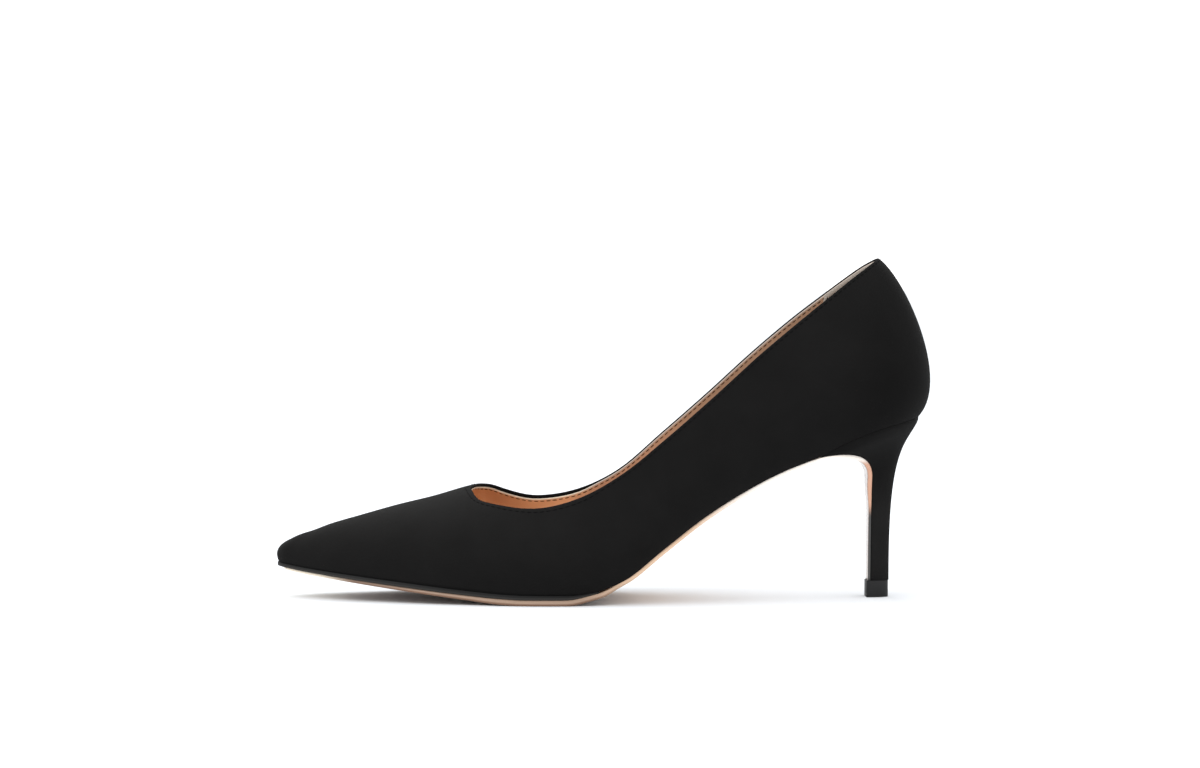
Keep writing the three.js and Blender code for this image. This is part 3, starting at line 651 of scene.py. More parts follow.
# Ribs from each row to the next where the upper's shape turns quickly.
RIB_STEPS = {THROAT_ROW - 1: 8, THROAT_ROW: 16, THROAT_ROW + 1: 10}
PLAIN_RIB_STEPS = 6
WALL_STEPS = 26
ROLL_STEPS = 6
PUSH_REACH = 9
# The lining's upper edge below the topline, at the throat and behind, and where it changes.
FOLD_STAND = 1.0
FOLD_STAND_BACK = 0.22
FOLD_CHANGE = (0.455, 0.5)


class Wall:
    """The upper's outer face as a grid of points, with its topline as a rim."""

    def __init__(self, last):
        rows = []
        for row in range(LAST_ROW):
            steps = RIB_STEPS.get(row, PLAIN_RIB_STEPS)
            rows += [row + k / steps for k in range(steps)]
        self.last = last
        self.ribs = [(row, -1) for row in rows + [LAST_ROW]] + [(row, 1) for row in rows[:0:-1]]
        self.grid = []
        points = []
        for k, (row, side) in enumerate(self.ribs):
            handles = last.rib(row, side)
            shared = side > 0 and row <= THROAT_ROW
            steps = WALL_STEPS + (0 if shared else 1)
            line = list(range(len(points), len(points) + steps))
            points += [bezier(handles, (step / WALL_STEPS) ** RIB_CROWDING) for step in range(steps)]
            if shared:
                line.append(self.grid[len(self.ribs) - k][-1])
            self.grid.append(line)
        self.points = np.array(points)
        self.faces = quads(self.grid)
        self.out = outward(self.points, self.faces)
        throat = rows.index(THROAT_ROW)
        self.rim = [line[-1] for line in self.grid[throat : len(self.grid) - throat]]
        rim = self.points[self.rim]
        run = np.roll(rim, -1, axis=0) - np.roll(rim, 1, axis=0)
        self.past = np.array([unit(np.cross(self.out[v], t)) for v, t in zip(self.rim, run)])
        self.push = self.rim_push(rim)
        changed = [ease(x / last.shoe_length, *FOLD_CHANGE) for x in self.points[:, 0]]
        self.fold = lerp(FOLD_STAND, FOLD_STAND_BACK, np.array(changed))[:, None]

    def rim_push(self, rim):
        """The way back from the topline at each point, fading out with its distance."""
        spans = np.roll(rim, -1, axis=0) - rim
        away = self.points[:, None] - rim[None]
        along = np.clip(np.sum(away * spans, axis=2) / np.sum(spans**2, axis=1), 0, 1)
        distance = np.linalg.norm(away - along[..., None] * spans, axis=2)
        nearest = np.argmin(distance, axis=1)
        every = np.arange(len(nearest))
        share = along[every, nearest][:, None]
        way = lerp(self.past[nearest], np.roll(self.past, -1, axis=0)[nearest], share)
        way -= self.out * np.sum(way * self.out, axis=1, keepdims=True)
        fade = np.clip(1 - distance[every, nearest] / PUSH_REACH, 0, 1) ** 2
        return way / np.linalg.norm(way, axis=1, keepdims=True) * fade[:, None]

    def at_depth(self, depth, drop):
        """The wall's points at a depth under its face, the rim held back by drop."""
        return self.points - self.out * depth - self.push * drop


def skin(wall, top_depth, low_depth, drop, lip):
    """A closed skin of the upper between two depths, its upper edge rounded.

    The edge stands drop below the topline, and lip is the height of its band. The last value
    is a number at each point: 1 on the band, 0 below it.
    """
    radius = (low_depth - top_depth) / 2
    held = drop + radius + lip
    outer = wall.at_depth(top_depth, held)
    inner = wall.at_depth(low_depth, held)
    for line in wall.grid:
        inner[line[0]][2] = wall.last.bottom(inner[line[0]][0])
    count = len(outer)
    points = [*outer, *inner]
    faces = wall.faces + [tuple(v + count for v in reversed(face)) for face in wall.faces]
    near = [line[0] for line in wall.grid]
    faces += strip([v + count for v in near], near)
    rings = [wall.rim]
    middle = (outer[wall.rim] + inner[wall.rim]) / 2 + wall.past * lip
    out = wall.out[wall.rim]
    for step in range(ROLL_STEPS + 1) if lip else range(1, ROLL_STEPS):
        turn = math.pi * step / ROLL_STEPS
        rings.append(list(range(len(points), len(points) + len(wall.rim))))
        points += list(middle + radius * (math.cos(turn) * out + math.sin(turn) * wall.past))
    rings.append([v + count for v in wall.rim])
    for first, second in zip(rings, rings[1:]):
        faces += strip(first, second)
    shades = [0] * (2 * count) + [1] * (len(points) - 2 * count)
    return points, faces, shades


def patch(wall, lines, top_depth, low_depth, drop):
    """A closed patch on the wall, over some of the lines of its grid."""
    faces = quads(lines, closed=False)
    kept = sorted({v for face in faces for v in face})
    number = {v: k for k, v in enumerate(kept)}
    faces = [tuple(number[v] for v in face) for face in faces]
    outer = wall.at_depth(top_depth, drop)[kept]
    inner = wall.at_depth(low_depth, drop)[kept]
    count = len(kept)
    faces_all = faces + [tuple(v + count for v in reversed(face)) for face in faces]
    faces_all += [(b, a, a + count, b + count) for a, b in edges_of(faces)]
    return [*outer, *inner], faces_all


EDGE_STEPS = 4
ACROSS_STEPS = 6
CORNER_STEPS = 4
SLIP_SECTIONS = 90
SOLE_SECTIONS = 120
SOCK_SECTIONS = 70
FLAP_SECTIONS = 60
SOCK_TOE_ROW = 1.5
SOCK_HEEL_ROW = LAST_ROW - 0.35
HEEL_SAMPLES = 121
HEEL_STEPS = 52
LEVELS_PER_ROW = 4
# Rounded corners and bevels, in millimetres or as a share of what they round.
SLIP_ROUND = 0.2
SOLE_ROUND = 0.6
FLAP_ROUND = 0.4
HEEL_ROUND = 0.8
TOPLIFT_ROUND = 0.7
ROUND_LIMIT = 0.06
TOPLIFT_BEVEL = 0.15
BEVEL_STEPS = ((0, 1), (0.4, 0.3), (1, 0))
# How far closed seams stand apart, and the sock's edge: past its inset and above the insole.
SEAM = 0.05
SOCK_EDGE = ((-3, 0), (-1.2, 0.15), (-0.3, 0.5), (0, 0.4))
SOCK_SKIRT = 0.6


def rows_between(start, end, steps):
    """Rows between two ends, closer together at the toe."""
    return [start + (end - start) * (k / steps) ** TOE_CROWDING for k in range(steps + 1)]


def ring_round(medial, lateral):
    """A closed section from the two edges of a plate, each listed from the top down."""
    low = [lerp(medial[-1], lateral[-1], k / ACROSS_STEPS) for k in range(1, ACROSS_STEPS)]
    high = [lerp(lateral[0], medial[0], k / ACROSS_STEPS) for k in range(1, ACROSS_STEPS)]
    return medial + low + lateral[::-1] + high


def shaded_plate(sections):
    """A plate whose shades fall from 2 to 1 down its edges, then to 0 over its bottom."""
    edge = [2] + [1 - k / EDGE_STEPS for k in range(EDGE_STEPS + 1)]
    ring = edge + [0] * (ACROSS_STEPS - 1) + edge[::-1] + [1] * (ACROSS_STEPS - 1)
    return *loft(sections), ring * len(sections) + [0, 0]


def edge_line(place, past, top, bottom, radius):
    """One edge of a plate. place(past, depth) is a point, and the lower corner is rounded."""
    line = [place(past, top)]
    for step in range(EDGE_STEPS + 1):
        turn = math.pi / 2 * step / EDGE_STEPS
        held = radius * (1 - math.cos(turn))
        line.append(place(past - held, bottom - radius * (1 - math.sin(turn))))
    return line


def beside(last, row, side):
    """A function for the points past the feather line at a row, at a depth below it."""
    foot, out = last.feather(row, side)
    return lambda past, depth: last.below(foot[0] + out[0] * past, foot[1] + out[1] * past, depth)


def plate_ring(last, row, proud, top, bottom, radius):
    """A section of a bottom piece at a row, between two depths below the feather line."""
    return ring_round(
        *[edge_line(beside(last, row, side), proud, top, bottom, radius) for side in (1, -1)]
    )


SLIP_SHARE = column(EDGES, "slip", "row")


def slip_depth(last, row):
    """Depth of the slip sole's underside."""
    thickness = lerp(
        last.slip_thickness * SLIP_SHARE(row),
        last.slip_end_thickness,
        ease(row, SLIP_END_ROW - SLIP_TAPER_ROWS, SLIP_END_ROW),
    )
    return last.clearance + thickness


def sole_depth(last, row):
    """Depth of the outsole's upper face: under the slip sole, then close under the upper."""
    closed = ease(row, SLIP_END_ROW, SLIP_END_ROW + SLIP_STEP_ROWS)
    return lerp(slip_depth(last, row) + last.clearance, last.clearance, closed)


def slip_sole_mesh(last):
    proud = column(EDGES, "slip_proud", "row")
    sections = [
        plate_ring(last, row, proud(row) * last.ball_width, SEAM, slip_depth(last, row), SLIP_ROUND)
        for row in rows_between(SOLE_START_ROW, SLIP_END_ROW, SLIP_SECTIONS)
    ]
    return shaded_plate(sections)


def sole_mesh(last):
    """The outsole along the bottom and down the breast."""
    closing = last.clearance - SEAM
    proud = column(EDGES, "sole_proud", "row")
    share_at = column(EDGES, "thickness", "row")
    sections = []
    for row in rows_between(SOLE_START_ROW, BREAST_ROW, SOLE_SECTIONS):
        top = sole_depth(last, row)
        bottom = top + share_at(row) * last.outsole_thickness
        past = proud(row) * last.ball_width
        sections.append(plate_ring(last, row, past, top - closing, bottom, SOLE_ROUND))
    levels = last.heel_levels(LEVELS_PER_ROW)
    rings = [last.heel_ring(level, ENDS_AND_BACK) for level in levels]
    fronts = [level["front"] for level in levels]
    breadths = [[ring[end][1] for ring in rings] for end in (2, 0)]
    lip = fronts[-1]
    seam = proud(BREAST_ROW) * last.ball_width
    for share in np.linspace(1, 0, FLAP_SECTIONS + 1)[1:]:
        point, into = last.breast_place(share)
        wide = clamp((share - lip) / (1 - lip))
        full = lerp(FLAP_THICKNESS, share_at(BREAST_ROW), ease(point[2], *last.skive))
        thick = last.outsole_thickness * full
        radius = min(SOLE_ROUND, FLAP_ROUND * thick)
        edges = []
        for side, line in zip((1, -1), breadths):
            y = lerp(np.interp(share, fronts, line), last.outline(point[0], side) + side * seam, wide)

            def place(past, depth, y=y, side=side, point=point, into=into):
                return point - into * depth + np.array([0, y + side * past, 0])

            edges.append(edge_line(place, 0, -closing * (1 - wide), thick, radius))
        sections.append(ring_round(*edges))
    return shaded_plate(sections)


def sock_mesh(last):
    inset = -(last.upper_wall + SEAM)
    held = inset - last.clearance
    top = last.insole_thickness
    sections = []
    for row in rows_between(SOCK_TOE_ROW, SOCK_HEEL_ROW, SOCK_SECTIONS):
        edges = []
        for side in (1, -1):
            place = beside(last, row, side)
            edge = [place(inset + past, -top - rise) for past, rise in SOCK_EDGE]
            edges.append(edge + [place(held, SOCK_SKIRT - top), place(held, 0)])
        sections.append(ring_round(*edges))
    return loft(sections)


def rounded(ring, radius):
    """An open ring closed by a flat with two rounded corners, listed the other way round."""
    line = Path(ring)
    radius = min(radius, ROUND_LIMIT * line.length)
    held = radius / line.length
    sides = [line.at(held + (1 - 2 * held) * k / HEEL_STEPS) for k in range(HEEL_STEPS + 1)]
    first = line.points[0]
    final = line.points[-1]
    across = unit(final - first) * radius

    def corner(a, b, c):
        turns = [k / CORNER_STEPS for k in range(1, CORNER_STEPS + 1)]
        return [lerp(lerp(a, b, turn), lerp(b, c, turn), turn) for turn in turns]

    start = corner(first + across, first, sides[0])
    end = corner(sides[-1], final, final - across)
    flat = [lerp(final - across, first + across, k / ACROSS_STEPS) for k in range(1, ACROSS_STEPS + 1)]
    return (start[:-1] + sides + end + flat)[::-1]


def heel_mesh(last):
    rings = [last.heel_ring(level, HEEL_SAMPLES) for level in last.heel_levels(LEVELS_PER_ROW)]
    rim = last.heel_ring(HEEL_LEVELS[-1], HEEL_SAMPLES, rim=True)
    for point in rim:
        point[2] = last.seat(point[0], SEAM)
    return loft([rounded(ring, HEEL_ROUND) for ring in rings + [rim]])


def top_lift_mesh(last):
    tip = last.heel_ring(HEEL_LEVELS[0], HEEL_SAMPLES)
    front = tip[0][0]
    depth = max(point[0] for point in tip) - front
    widen = 1 + 2 * last.toplift_margin / last.stem_width
    run = last.lift_back - last.lift_front
    outline = [
        np.array([last.lift_front + run * (x - front) / depth, y * widen, 0]) for x, y, _ in tip
    ]
    ring = rounded(outline, TOPLIFT_ROUND)
    middle = np.mean(ring, axis=0)
    top = last.toplift_height + last.clearance - SEAM
    levels = [(rise * TOPLIFT_BEVEL, held * TOPLIFT_BEVEL) for rise, held in BEVEL_STEPS]
    levels += [(top - height, held) for height, held in levels[::-1]]
    return loft(
        [
            [point - unit(point - middle) * held + [0, 0, height] for point in ring]
            for height, held in levels
        ]
    )


def add_node(tree, kind, settings, values):
    """One node of a tree: its settings, then what its sockets are set to or fed by."""
    node = tree.nodes.new(kind)
    for name, value in settings.items():
        setattr(node, name, value)
    for name, value in values.items():
        if isinstance(value, bpy.types.NodeSocket):
            tree.links.new(value, node.inputs[name])
        else:
            node.inputs[name].default_value = value
    return node


def opaque(colour):
    return (*colour, 1.0)


class Signal:
    """A socket in a material's nodes that can be summed and multiplied."""

    def __init__(self, finish, socket):
        self.finish = finish
        self.socket = socket

    def maths(self, operation, first, second):
        return self.finish.make("ShaderNodeMath", {"operation": operation}, {0: first, 1: second})

    def __add__(self, other):
        return self.maths("ADD", self, other)

    def __mul__(self, other):
        return self.maths("MULTIPLY", self, other)

    __radd__ = __add__
    __rmul__ = __mul__


class Finish:
    """A material whose nodes are made one at a time."""

    def __init__(self, name):
        self.material = bpy.data.materials.new(name)
        self.material.use_nodes = True
        self.tree = self.material.node_tree
        self.tree.nodes.clear()

    def make(self, kind, settings, values, out=0):
        """One node: its settings, then the values or signals of its sockets."""
        sockets = {name: getattr(value, "socket", value) for name, value in values.items()}
        node = add_node(self.tree, kind, settings, sockets)
        return Signal(self, node.outputs[out] if node.outputs else None)

    def place(self):
        """Where a point lies in the frame, in millimetres."""
        spot = self.make("ShaderNodeTexCoord", {}, {}, "Object")
        return self.make("ShaderNodeVectorMath", {"operation": "SCALE"}, {0: spot, "Scale": 1 / MM})

    def part(self, vector, axis):
        return self.make("ShaderNodeSeparateXYZ", {}, {0: vector}, axis)

    def noise(self, place, per_mm, detail, roughness):
        """Noise around 0.5."""
        values = {"Vector": place, "Scale": per_mm, "Detail": detail, "Roughness": roughness}
        return self.make("ShaderNodeTexNoise", {}, values)

    def ramp(self, value, start, end, low=0.0, high=1.0):
        """A smooth step from low at start to high at end."""
        values = {"Value": value, 1: start, 2: end, 3: low, 4: high}
        return self.make("ShaderNodeMapRange", {"interpolation_type": "SMOOTHSTEP"}, values)

    def blend(self, share, first, second):
        """Between two colours, or signals that carry colours."""
        ends = [end if isinstance(end, Signal) else opaque(end) for end in (first, second)]
        values = {"Factor": share, 6: ends[0], 7: ends[1]}
        return self.make("ShaderNodeMix", {"data_type": "RGBA"}, values, 2)

    def tint(self, colour, strength):
        """A colour made darker or lighter by a signal around 1."""
        return self.make("ShaderNodeVectorMath", {"operation": "SCALE"}, {0: colour, "Scale": strength})

    def shade(self):
        """The piece's own value at each point."""
        return self.make("ShaderNodeAttribute", {"attribute_name": "shade"}, {}, "Fac")

    def bump(self, height, distance, strength=1.0):
        """Normals from a height in millimetres."""
        values = {"Height": height, "Distance": distance * MM, "Strength": strength}
        return self.make("ShaderNodeBump", {}, values)

    def done(self, **values):
        """The surface from its sockets, their names written with underscores."""
        sockets = {name.replace("_", " "): value for name, value in values.items()}
        surface = self.make("ShaderNodeBsdfPrincipled", {}, sockets)
        self.make("ShaderNodeOutputMaterial", {}, {"Surface": surface})
        return self.material


# Noises, each by its scale per millimetre, detail and roughness.
NAP_PATCHES = (0.07, 3, 0.55)
NAP_FIBRES = (5, 3, 0.7)
PORES = (3, 3, 0.6)
CLOUDS = (0.1, 2, 0.5)
LINING_CLOUDS = (0.12, 2, 0.5)
PAINT_GRAIN = (2, 2, 0.5)
SOLE_GRAIN = (2.5, 3, 0.6)
SOLE_CLOUDS = (0.08, 3, 0.5)
# Painted shade and light on the suede: along which axis its tone changes, where, and its tones there.
# The upper is painted darker towards the back of the counter.
UPPER_PAINTED_SHADE = ("X", (80, 118), (1.0, 0.55))
# The heel is painted lighter low on its stem and darker towards its seat.
HEEL_PAINTED_LIGHT_AND_SHADE = ("Z", (28, 56), (1.75, 0.9))
# Where colours change, as places along the shoe.
LINING_SIDE = (-16, 2)
LINING_BACK = (16, 38)
SOLE_TREAD = (14, -10)
SOLE_TOE = (-92, -108)
# Where the painted reflection on the waist's edge comes in.
SOLE_WAIST_GLARE = (28, 58)
BREAST_START = (84, 90)
# The same, as heights over the floor.
BREAST_TOP = (52.5, 50)
FLAP_DARKENS = (36, 30)
# The same, as values of the shade attribute.
# Where the painted shade on the slip sole's upper part ends.
PAINTED_SHADE_END = (1.6, 1.2)
CUT_EDGE_START = (0.35, 0.65)
# Where the painted shade and wear lie on the tread's lower edge, and how strong they are.
WEAR_AND_SHADE_START = (1.3, 1.0)
WEAR_AND_SHADE_END = (0.05, 0.3)
FLAP_FRONT = (0.6, 0.3)
WEAR_AND_SHADE_SHARE = 0.85


def suede(name, colour, axis, reach, tones):
    """Brushed nap: soft patches, and fine fibres that catch the light.

    The tone, which is painted shade and light, passes from the first of tones to the second over a
    reach along an axis.
    """
    finish = Finish(name)
    place = finish.place()
    patches = finish.noise(place, *NAP_PATCHES)
    fibres = finish.noise(place, *NAP_FIBRES)
    # Painted shade and light: the tone ramp scales the base colour.
    tone = finish.ramp(finish.part(place, axis), *reach, *tones)
    return finish.done(
        Base_Color=finish.tint(tuple(colour), tone * (0.5 + patches * 0.55 + fibres * 0.45)),
        Roughness=0.95,
        Specular_IOR_Level=0.06,
        Sheen_Weight=0.012,
        Sheen_Roughness=0.6,
        Normal=finish.bump(fibres, 0.12, 0.6),
    )


def leather(name, colour, roughness, grain=0.03, gloss=0.5):
    finish = Finish(name)
    place = finish.place()
    pores = finish.noise(place, *PORES)
    clouds = finish.noise(place, *CLOUDS)
    return finish.done(
        Base_Color=finish.tint(tuple(colour), 0.88 + clouds * 0.16 + pores * 0.08),
        Roughness=roughness,
        Specular_IOR_Level=gloss,
        Normal=finish.bump(pores, grain),
    )


def edge_paint(colours):
    """Black paint on the slip sole's edge, with painted shade on its upper part where the upper stands
    over it.
    """
    finish = Finish("Edge paint")
    # Painted shade on the upper part of the edge, under the upper's overhang.
    low = finish.ramp(finish.shade(), *PAINTED_SHADE_END)
    return finish.done(
        Base_Color=finish.blend(low, colours.edge_groove, colours.edge),
        Roughness=0.6,
        Specular_IOR_Level=0.2,
        Normal=finish.bump(finish.noise(finish.place(), *PAINT_GRAIN), 0.01),
    )


def lining_leather(colours):
    """Tan leather, warmer and painted brighter in the throat against the shade there, with a cream raw
    edge along the topline.
    """
    finish = Finish("Lining leather")
    place = finish.place()
    pores = finish.noise(place, *PORES)
    clouds = finish.noise(place, *LINING_CLOUDS)
    along = finish.part(place, "X")
    side = finish.ramp(along, *LINING_SIDE)
    # Painted light: the throat's tan is brighter to stand against the shade that falls there.
    body = finish.blend(side, colours.lining, colours.lining_side)
    body = finish.blend(finish.ramp(along, *LINING_BACK), body, colours.lining_back)
    body = finish.tint(body, 0.86 + clouds * 0.18 + pores * 0.08)
    edge = finish.blend(side, colours.cut_edge, colours.cut_edge_back)
    return finish.done(
        Base_Color=finish.blend(finish.ramp(finish.shade(), *CUT_EDGE_START), body, edge),
        Roughness=0.6,
        Normal=finish.bump(pores, 0.03),
    )


def sole_leather(colours):
    """Nude leather, with painted shade and some wear at the lower edge of the forefoot, a painted
    reflection along the edge of the waist, and browner down the breast.
    """
    finish = Finish("Sole leather")
    place = finish.place()
    along = finish.part(place, "X")
    height = finish.part(place, "Z")
    grain = finish.noise(place, *SOLE_GRAIN)
    clouds = finish.noise(place, *SOLE_CLOUDS)
    shade = finish.shade()
    tread = finish.ramp(along, *SOLE_TREAD)
    # Painted shade with some wear along the rounded lower edge of the tread.
    wear_and_shade = finish.ramp(shade, *WEAR_AND_SHADE_START) * finish.ramp(shade, *WEAR_AND_SHADE_END) * tread * WEAR_AND_SHADE_SHARE
    body = finish.blend(tread, colours.sole, colours.sole_tread)
    body = finish.blend(wear_and_shade, body, colours.sole_worn)
    body = finish.blend(finish.ramp(along, *SOLE_TOE), body, colours.sole_toe)
    # Painted reflection: the waist's edge turns nearly white.
    body = finish.blend(finish.ramp(along, *SOLE_WAIST_GLARE), body, colours.sole_waist)
    flap = finish.blend(finish.ramp(height, *FLAP_DARKENS), colours.flap, colours.flap_low)
    flap = finish.blend(finish.ramp(shade, *FLAP_FRONT), flap, colours.flap_front)
    breast = finish.ramp(height, *BREAST_TOP) * finish.ramp(along, *BREAST_START)
    body = finish.blend(breast, body, flap)
    return finish.done(
        Base_Color=finish.tint(body, 0.9 + clouds * 0.12 + grain * 0.08),
        Roughness=finish.ramp(shade, 0.2, 0.9, 0.2, 0.5),
        Normal=finish.bump(grain, 0.02),
    )


def plain(name, colour, roughness, gloss=0.5):
    return Finish(name).done(
        Base_Color=opaque(colour), Roughness=roughness, Specular_IOR_Level=gloss
    )


class NodeGroup:
    """A geometry node tree with named inputs, made one node at a time."""

    def __init__(self, name):
        self.tree = bpy.data.node_groups.new(name, "GeometryNodeTree")
        self.inputs = {}
        self.entry = self.tree.nodes.new("NodeGroupInput")

    def input(self, name, kind):
        item = self.tree.interface.new_socket(name=name, in_out="INPUT", socket_type=kind)
        self.inputs[name] = item.identifier
        return self.entry.outputs[name]

    def make(self, kind, values, out=0, **settings):
        """The output socket of one node."""
        return add_node(self.tree, kind, settings, values).outputs[out]


STITCH_SEED = 7
STITCH_SWAY = (0.03, 0.03, 0.06)
STITCH_SIDES = 8


def stitch_group():
    """Stitches along the edges of a mesh, each turned by the mesh's out attribute."""
    group = NodeGroup("Stitch row")
    group.tree.interface.new_socket(name="Stitches", in_out="OUTPUT", socket_type="NodeSocketGeometry")
    path = group.input("Path", "NodeSocketGeometry")
    measures = ("Pitch", "Length", "Thread")
    pitch, length, thread = [group.input(name, "NodeSocketFloat") for name in measures]
    finish = group.input("Finish", "NodeSocketMaterial")
    curve = group.make("GeometryNodeMeshToCurve", {"Mesh": path})
    even = group.make("GeometryNodeResampleCurve", {"Curve": curve, "Length": pitch}, mode="LENGTH")
    out = group.make("GeometryNodeInputNamedAttribute", {"Name": "out"}, data_type="FLOAT_VECTOR")
    turn = "FunctionNodeAlignRotationToVector"
    along = group.make(turn, {"Vector": group.make("GeometryNodeInputTangent", {})}, axis="X")
    lying = group.make(turn, {"Rotation": along, "Vector": out}, axis="Z", pivot_axis="X")
    values = {0: [-sway for sway in STITCH_SWAY], 1: STITCH_SWAY, "Seed": STITCH_SEED}
    sway = group.make("FunctionNodeRandomValue", values, data_type="FLOAT_VECTOR")
    values = {"Rotation": lying, "Rotate By": sway}
    turned = group.make("FunctionNodeRotateRotation", values, rotation_space="LOCAL")
    values = {"Segments": STITCH_SIDES, "Rings": STITCH_SIDES, "Radius": 0.5}
    ball = group.make("GeometryNodeMeshUVSphere", values)
    scale = group.make("ShaderNodeCombineXYZ", {"X": length, "Y": thread, "Z": thread})
    values = {"Points": even, "Instance": ball, "Rotation": turned, "Scale": scale}
    stitches = group.make("GeometryNodeInstanceOnPoints", values)
    real = group.make("GeometryNodeRealizeInstances", {"Geometry": stitches})
    smooth = group.make("GeometryNodeSetShadeSmooth", {"Geometry": real})
    done = group.make("GeometryNodeSetMaterial", {"Geometry": smooth, "Material": finish})
    add_node(group.tree, "NodeGroupOutput", {}, {"Stitches": done})
    return group


def stitch_piece(last, name, rows, group, finish):
    """Stitch rows as one plain mesh. Each row is a list of points, of outward ways, and whether
    it closes on itself."""
    sizes = bpy.context.scene.shoe_sizes
    points, outs, edges = [], [], []
    for line, ways, closed in rows:
        start = len(points)
        points += [(point + last.place) * MM for point in line]
        outs += list(ways)
        edges += [(start + k, start + k + 1) for k in range(len(line) - 1)]
        if closed:
            edges.append((start + len(line) - 1, start))
    mesh = bpy.data.meshes.new(name)
    mesh.from_pydata([tuple(point) for point in points], edges, [])
    flat = np.array(outs).ravel()
    mesh.attributes.new("out", "FLOAT_VECTOR", "POINT").data.foreach_set("vector", flat)
    piece = link(name, mesh)
    modifier = piece.modifiers.new(name, "NODES")
    modifier.node_group = group.tree
    modifier[group.inputs["Pitch"]] = sizes.stitch_pitch
    modifier[group.inputs["Length"]] = sizes.stitch_length
    modifier[group.inputs["Thread"]] = sizes.thread
    modifier[group.inputs["Finish"]] = finish
    graph = bpy.context.evaluated_depsgraph_get()
    made = bpy.data.meshes.new_from_object(piece.evaluated_get(graph))
    piece.modifiers.clear()
    piece.data = made
    bpy.data.meshes.remove(mesh)
    if not made.polygons:
        raise RuntimeError(f"{name} came out empty")
    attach(piece, BODY)
    return piece


def topline_row(wall, depth, lift, inward):
    """Points just under the lining's upper edge, off one face of the wall."""
    points = wall.at_depth(depth, 0)
    tree = BVHTree.FromPolygons([tuple(point) for point in points], wall.faces)
    line, ways = [], []
    for vertex, past in zip(wall.rim, wall.past):
        below = wall.fold[vertex] + STITCH_DROP
        spot, _, face, _ = tree.find_nearest(Vector(points[vertex] - past * below))
        way = unit(np.mean(wall.out[list(wall.faces[face])], axis=0)) * (-1 if inward else 1)
        line.append(np.array(spot) + way * lift)
        ways.append(way)
    return line, ways, True


def seam_row(wall, row, side, depth, drop, lift):
    """A row of stitches down the inside of the wall at one of its ribs."""
    inner = wall.at_depth(depth, drop)
    kept = wall.grid[wall.ribs.index((row, side))][SEAM_START:]
    ways = [-wall.out[vertex] for vertex in kept]
    return [inner[vertex] + way * lift for vertex, way in zip(kept, ways)], ways, False


# The linings: the depth of the tan one below the suede's face, the pale one of the counter,
# how far it is sunk into the tan one, and where it ends in front.
LINING_DEPTH = 1.1
COUNTER_THICKNESS = 0.3
COUNTER_SINK = 0.1
COUNTER_ROW = 17
EDGE_BAND = 0.15
# Stitches: below the lining's edge, off the leather as a share of the thread, and the points
# of a rib that its seam leaves out at the foot.
STITCH_DROP = 0.95
STITCH_STAND = 0.1
SEAM_START = 3


def shoe():
    """The last, its wall and the colours, all from the scene's properties."""
    last = Last(bpy.context.scene.shoe_sizes)
    return last, Wall(last), bpy.context.scene.shoe_colours


class BuildUpper(bpy.types.Operator):
    """Build the suede upper with its folded topline"""

    bl_idname = "shoe.upper"
    bl_label = "Upper"

    def execute(self, context):
        last, wall, colours = shoe()
        shape = skin(wall, 0, last.suede_thickness, 0, 0)[:2]
        finish = suede("Suede", colours.suede, *UPPER_PAINTED_SHADE)
        piece = make_piece(last, "suede_upper", shape, finish)
        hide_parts("upper")
        return {"FINISHED"}


class BuildLining(bpy.types.Operator):
    """Build the tan lining and the pale lining of the counter"""

    bl_idname = "shoe.lining"
    bl_label = "Linings"

    def execute(self, context):
        last, wall, colours = shoe()
        shape = skin(wall, LINING_DEPTH, last.upper_wall, wall.fold, EDGE_BAND)
        piece = make_piece(last, "lining", shape, lining_leather(colours))
        lines = [line for line, rib in zip(wall.grid, wall.ribs) if rib[0] >= COUNTER_ROW]
        deep = last.upper_wall + COUNTER_THICKNESS
        shape = patch(wall, lines, last.upper_wall - COUNTER_SINK, deep, wall.fold)
        finish = leather("Counter lining", colours.counter, 0.6)
        piece = make_piece(last, "counter_lining", shape, finish)
        return {"FINISHED"}


class BuildSock(bpy.types.Operator):
    """Build the sock over the insole"""

    bl_idname = "shoe.sock"
    bl_label = "Sock"

    def execute(self, context):
        last, _, colours = shoe()
        finish = leather("Sock leather", colours.lining_back, 0.55)
        piece = make_piece(last, "sock", sock_mesh(last), finish)
        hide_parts("insole")
        return {"FINISHED"}


class BuildSoles(bpy.types.Operator):
    """Build the black slip sole and the nude outsole"""

    bl_idname = "shoe.soles"
    bl_label = "Soles"

    def execute(self, context):
        last, _, colours = shoe()
        piece = make_piece(last, "slip_sole_edge", slip_sole_mesh(last), edge_paint(colours))
        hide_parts("slip_sole")
        piece = make_piece(last, "sole", sole_mesh(last), sole_leather(colours))
        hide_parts("outsole")
        return {"FINISHED"}


class BuildHeel(bpy.types.Operator):
    """Build the covered heel and its top lift"""

    bl_idname = "shoe.heel"
    bl_label = "Heel"

    def execute(self, context):
        last, _, colours = shoe()
        finish = suede("Heel suede", colours.suede, *HEEL_PAINTED_LIGHT_AND_SHADE)
        piece = make_piece(last, "heel_cover", heel_mesh(last), finish)
        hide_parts("heel")
        finish = leather("Rubber", colours.rubber, 0.6, 0.01, 0.25)
        piece = make_piece(last, "top_lift", top_lift_mesh(last), finish)
        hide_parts("toplift")
        return {"FINISHED"}


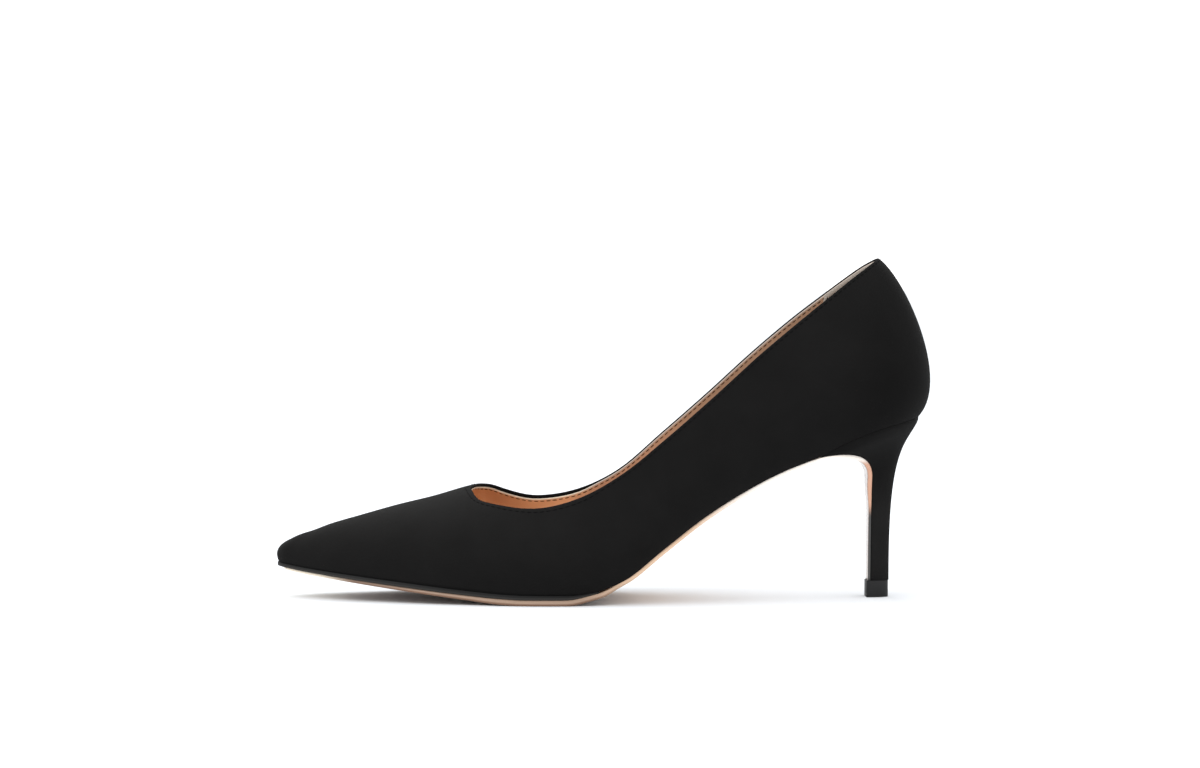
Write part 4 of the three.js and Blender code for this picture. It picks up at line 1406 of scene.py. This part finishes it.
class BuildStitches(bpy.types.Operator):
    """Build the stitches round the topline and down the counter lining"""

    bl_idname = "shoe.stitches"
    bl_label = "Stitches"

    def execute(self, context):
        last, wall, colours = shoe()
        group = stitch_group()
        finish = plain("Thread", colours.thread, 0.9, 0.05)
        lift = STITCH_STAND * last.thread
        rows = [topline_row(wall, 0, lift, False)]
        stitch_piece(last, "outer_stitches", rows, group, finish)
        rows = [topline_row(wall, last.upper_wall, lift, True)]
        deep = last.upper_wall + COUNTER_THICKNESS
        for side in (-1, 1):
            rows.append(seam_row(wall, COUNTER_ROW, side, deep, 2 * STITCH_DROP, lift))
        stitch_piece(last, "inner_stitches", rows, group, finish)
        return {"FINISHED"}


# The stage, in metres and degrees. A lamp has a place, a breadth and a power.
FLOOR_REACH = 6
SENSOR = 36
LENS = 119.836
CAMERA_SPOT = (-0.05312, -1.49297, 0.14349)
CAMERA_TURN = (87.5675, 0, -1.989)
WORLD_STRENGTH = 1.5
LAMP_AIM = (0, 0, 0.05)
LAMPS = (
    ("Key", (-1.2, -0.5, 1.5), 1.2, 13),
    ("Fill", (-0.2, 0.6, 1.8), 1.4, 11),
)


class SetStage(bpy.types.Operator):
    """Set the floor, the lights and the camera"""

    bl_idname = "shoe.stage"
    bl_label = "Stage"

    def execute(self, context):
        scene = context.scene
        mesh = bpy.data.meshes.new("Floor")
        turns = ((-1, -1), (1, -1), (1, 1), (-1, 1))
        mesh.from_pydata([(x * FLOOR_REACH, y * FLOOR_REACH, 0) for x, y in turns], [], [(0, 1, 2, 3)])
        mesh.materials.append(plain("Floor", scene.shoe_colours.floor, 1.0, 0.0))
        floor = link("Floor", mesh)
        world = bpy.data.worlds.new("Studio")
        world.use_nodes = True
        background = world.node_tree.nodes["Background"]
        background.inputs["Color"].default_value = (1, 1, 1, 1)
        background.inputs["Strength"].default_value = WORLD_STRENGTH
        scene.world = world
        scene.view_settings.view_transform = "Standard"
        for name, spot, breadth, power in LAMPS:
            lamp = bpy.data.lights.new(name, "AREA")
            lamp.shape = "DISK"
            lamp.size = breadth
            lamp.energy = power
            holder = link(name, lamp)
            holder.location = spot
            way = Vector(LAMP_AIM) - Vector(spot)
            holder.rotation_euler = way.to_track_quat("-Z", "Y").to_euler()
        lens = bpy.data.cameras.new("Camera")
        lens.sensor_width = SENSOR
        lens.lens = LENS
        camera = link("Camera", lens)
        camera.location = CAMERA_SPOT
        camera.rotation_euler = Euler([math.radians(turn) for turn in CAMERA_TURN])
        scene.camera = camera
        return {"FINISHED"}


OPERATORS = (
    BuildUpper,
    BuildLining,
    BuildSock,
    BuildSoles,
    BuildHeel,
    BuildStitches,
    SetStage,
)


class ShoePanel(bpy.types.Panel):
    """The shoe's operators, in the order they run"""

    bl_idname = "VIEW3D_PT_shoe"
    bl_label = "High Heel Shoe"
    bl_space_type = "VIEW_3D"
    bl_region_type = "UI"
    bl_category = "Shoe"

    def draw(self, context):
        for operator in OPERATORS:
            self.layout.operator(operator.bl_idname)


CLASSES = (ShoeSizes, ShoeColours, *OPERATORS, ShoePanel)


def register():
    for item in CLASSES:
        bpy.utils.register_class(item)
    bpy.types.Scene.shoe_sizes = bpy.props.PointerProperty(type=ShoeSizes)
    bpy.types.Scene.shoe_colours = bpy.props.PointerProperty(type=ShoeColours)


def unregister():
    del bpy.types.Scene.shoe_colours
    del bpy.types.Scene.shoe_sizes
    for item in reversed(CLASSES):
        bpy.utils.unregister_class(item)


def main():
    register()
    bpy.ops.shoe.upper()
    bpy.ops.shoe.lining()
    bpy.ops.shoe.sock()
    bpy.ops.shoe.soles()
    bpy.ops.shoe.heel()
    bpy.ops.shoe.stitches()
    bpy.ops.shoe.stage()


if __name__ == "__main__":
    main()
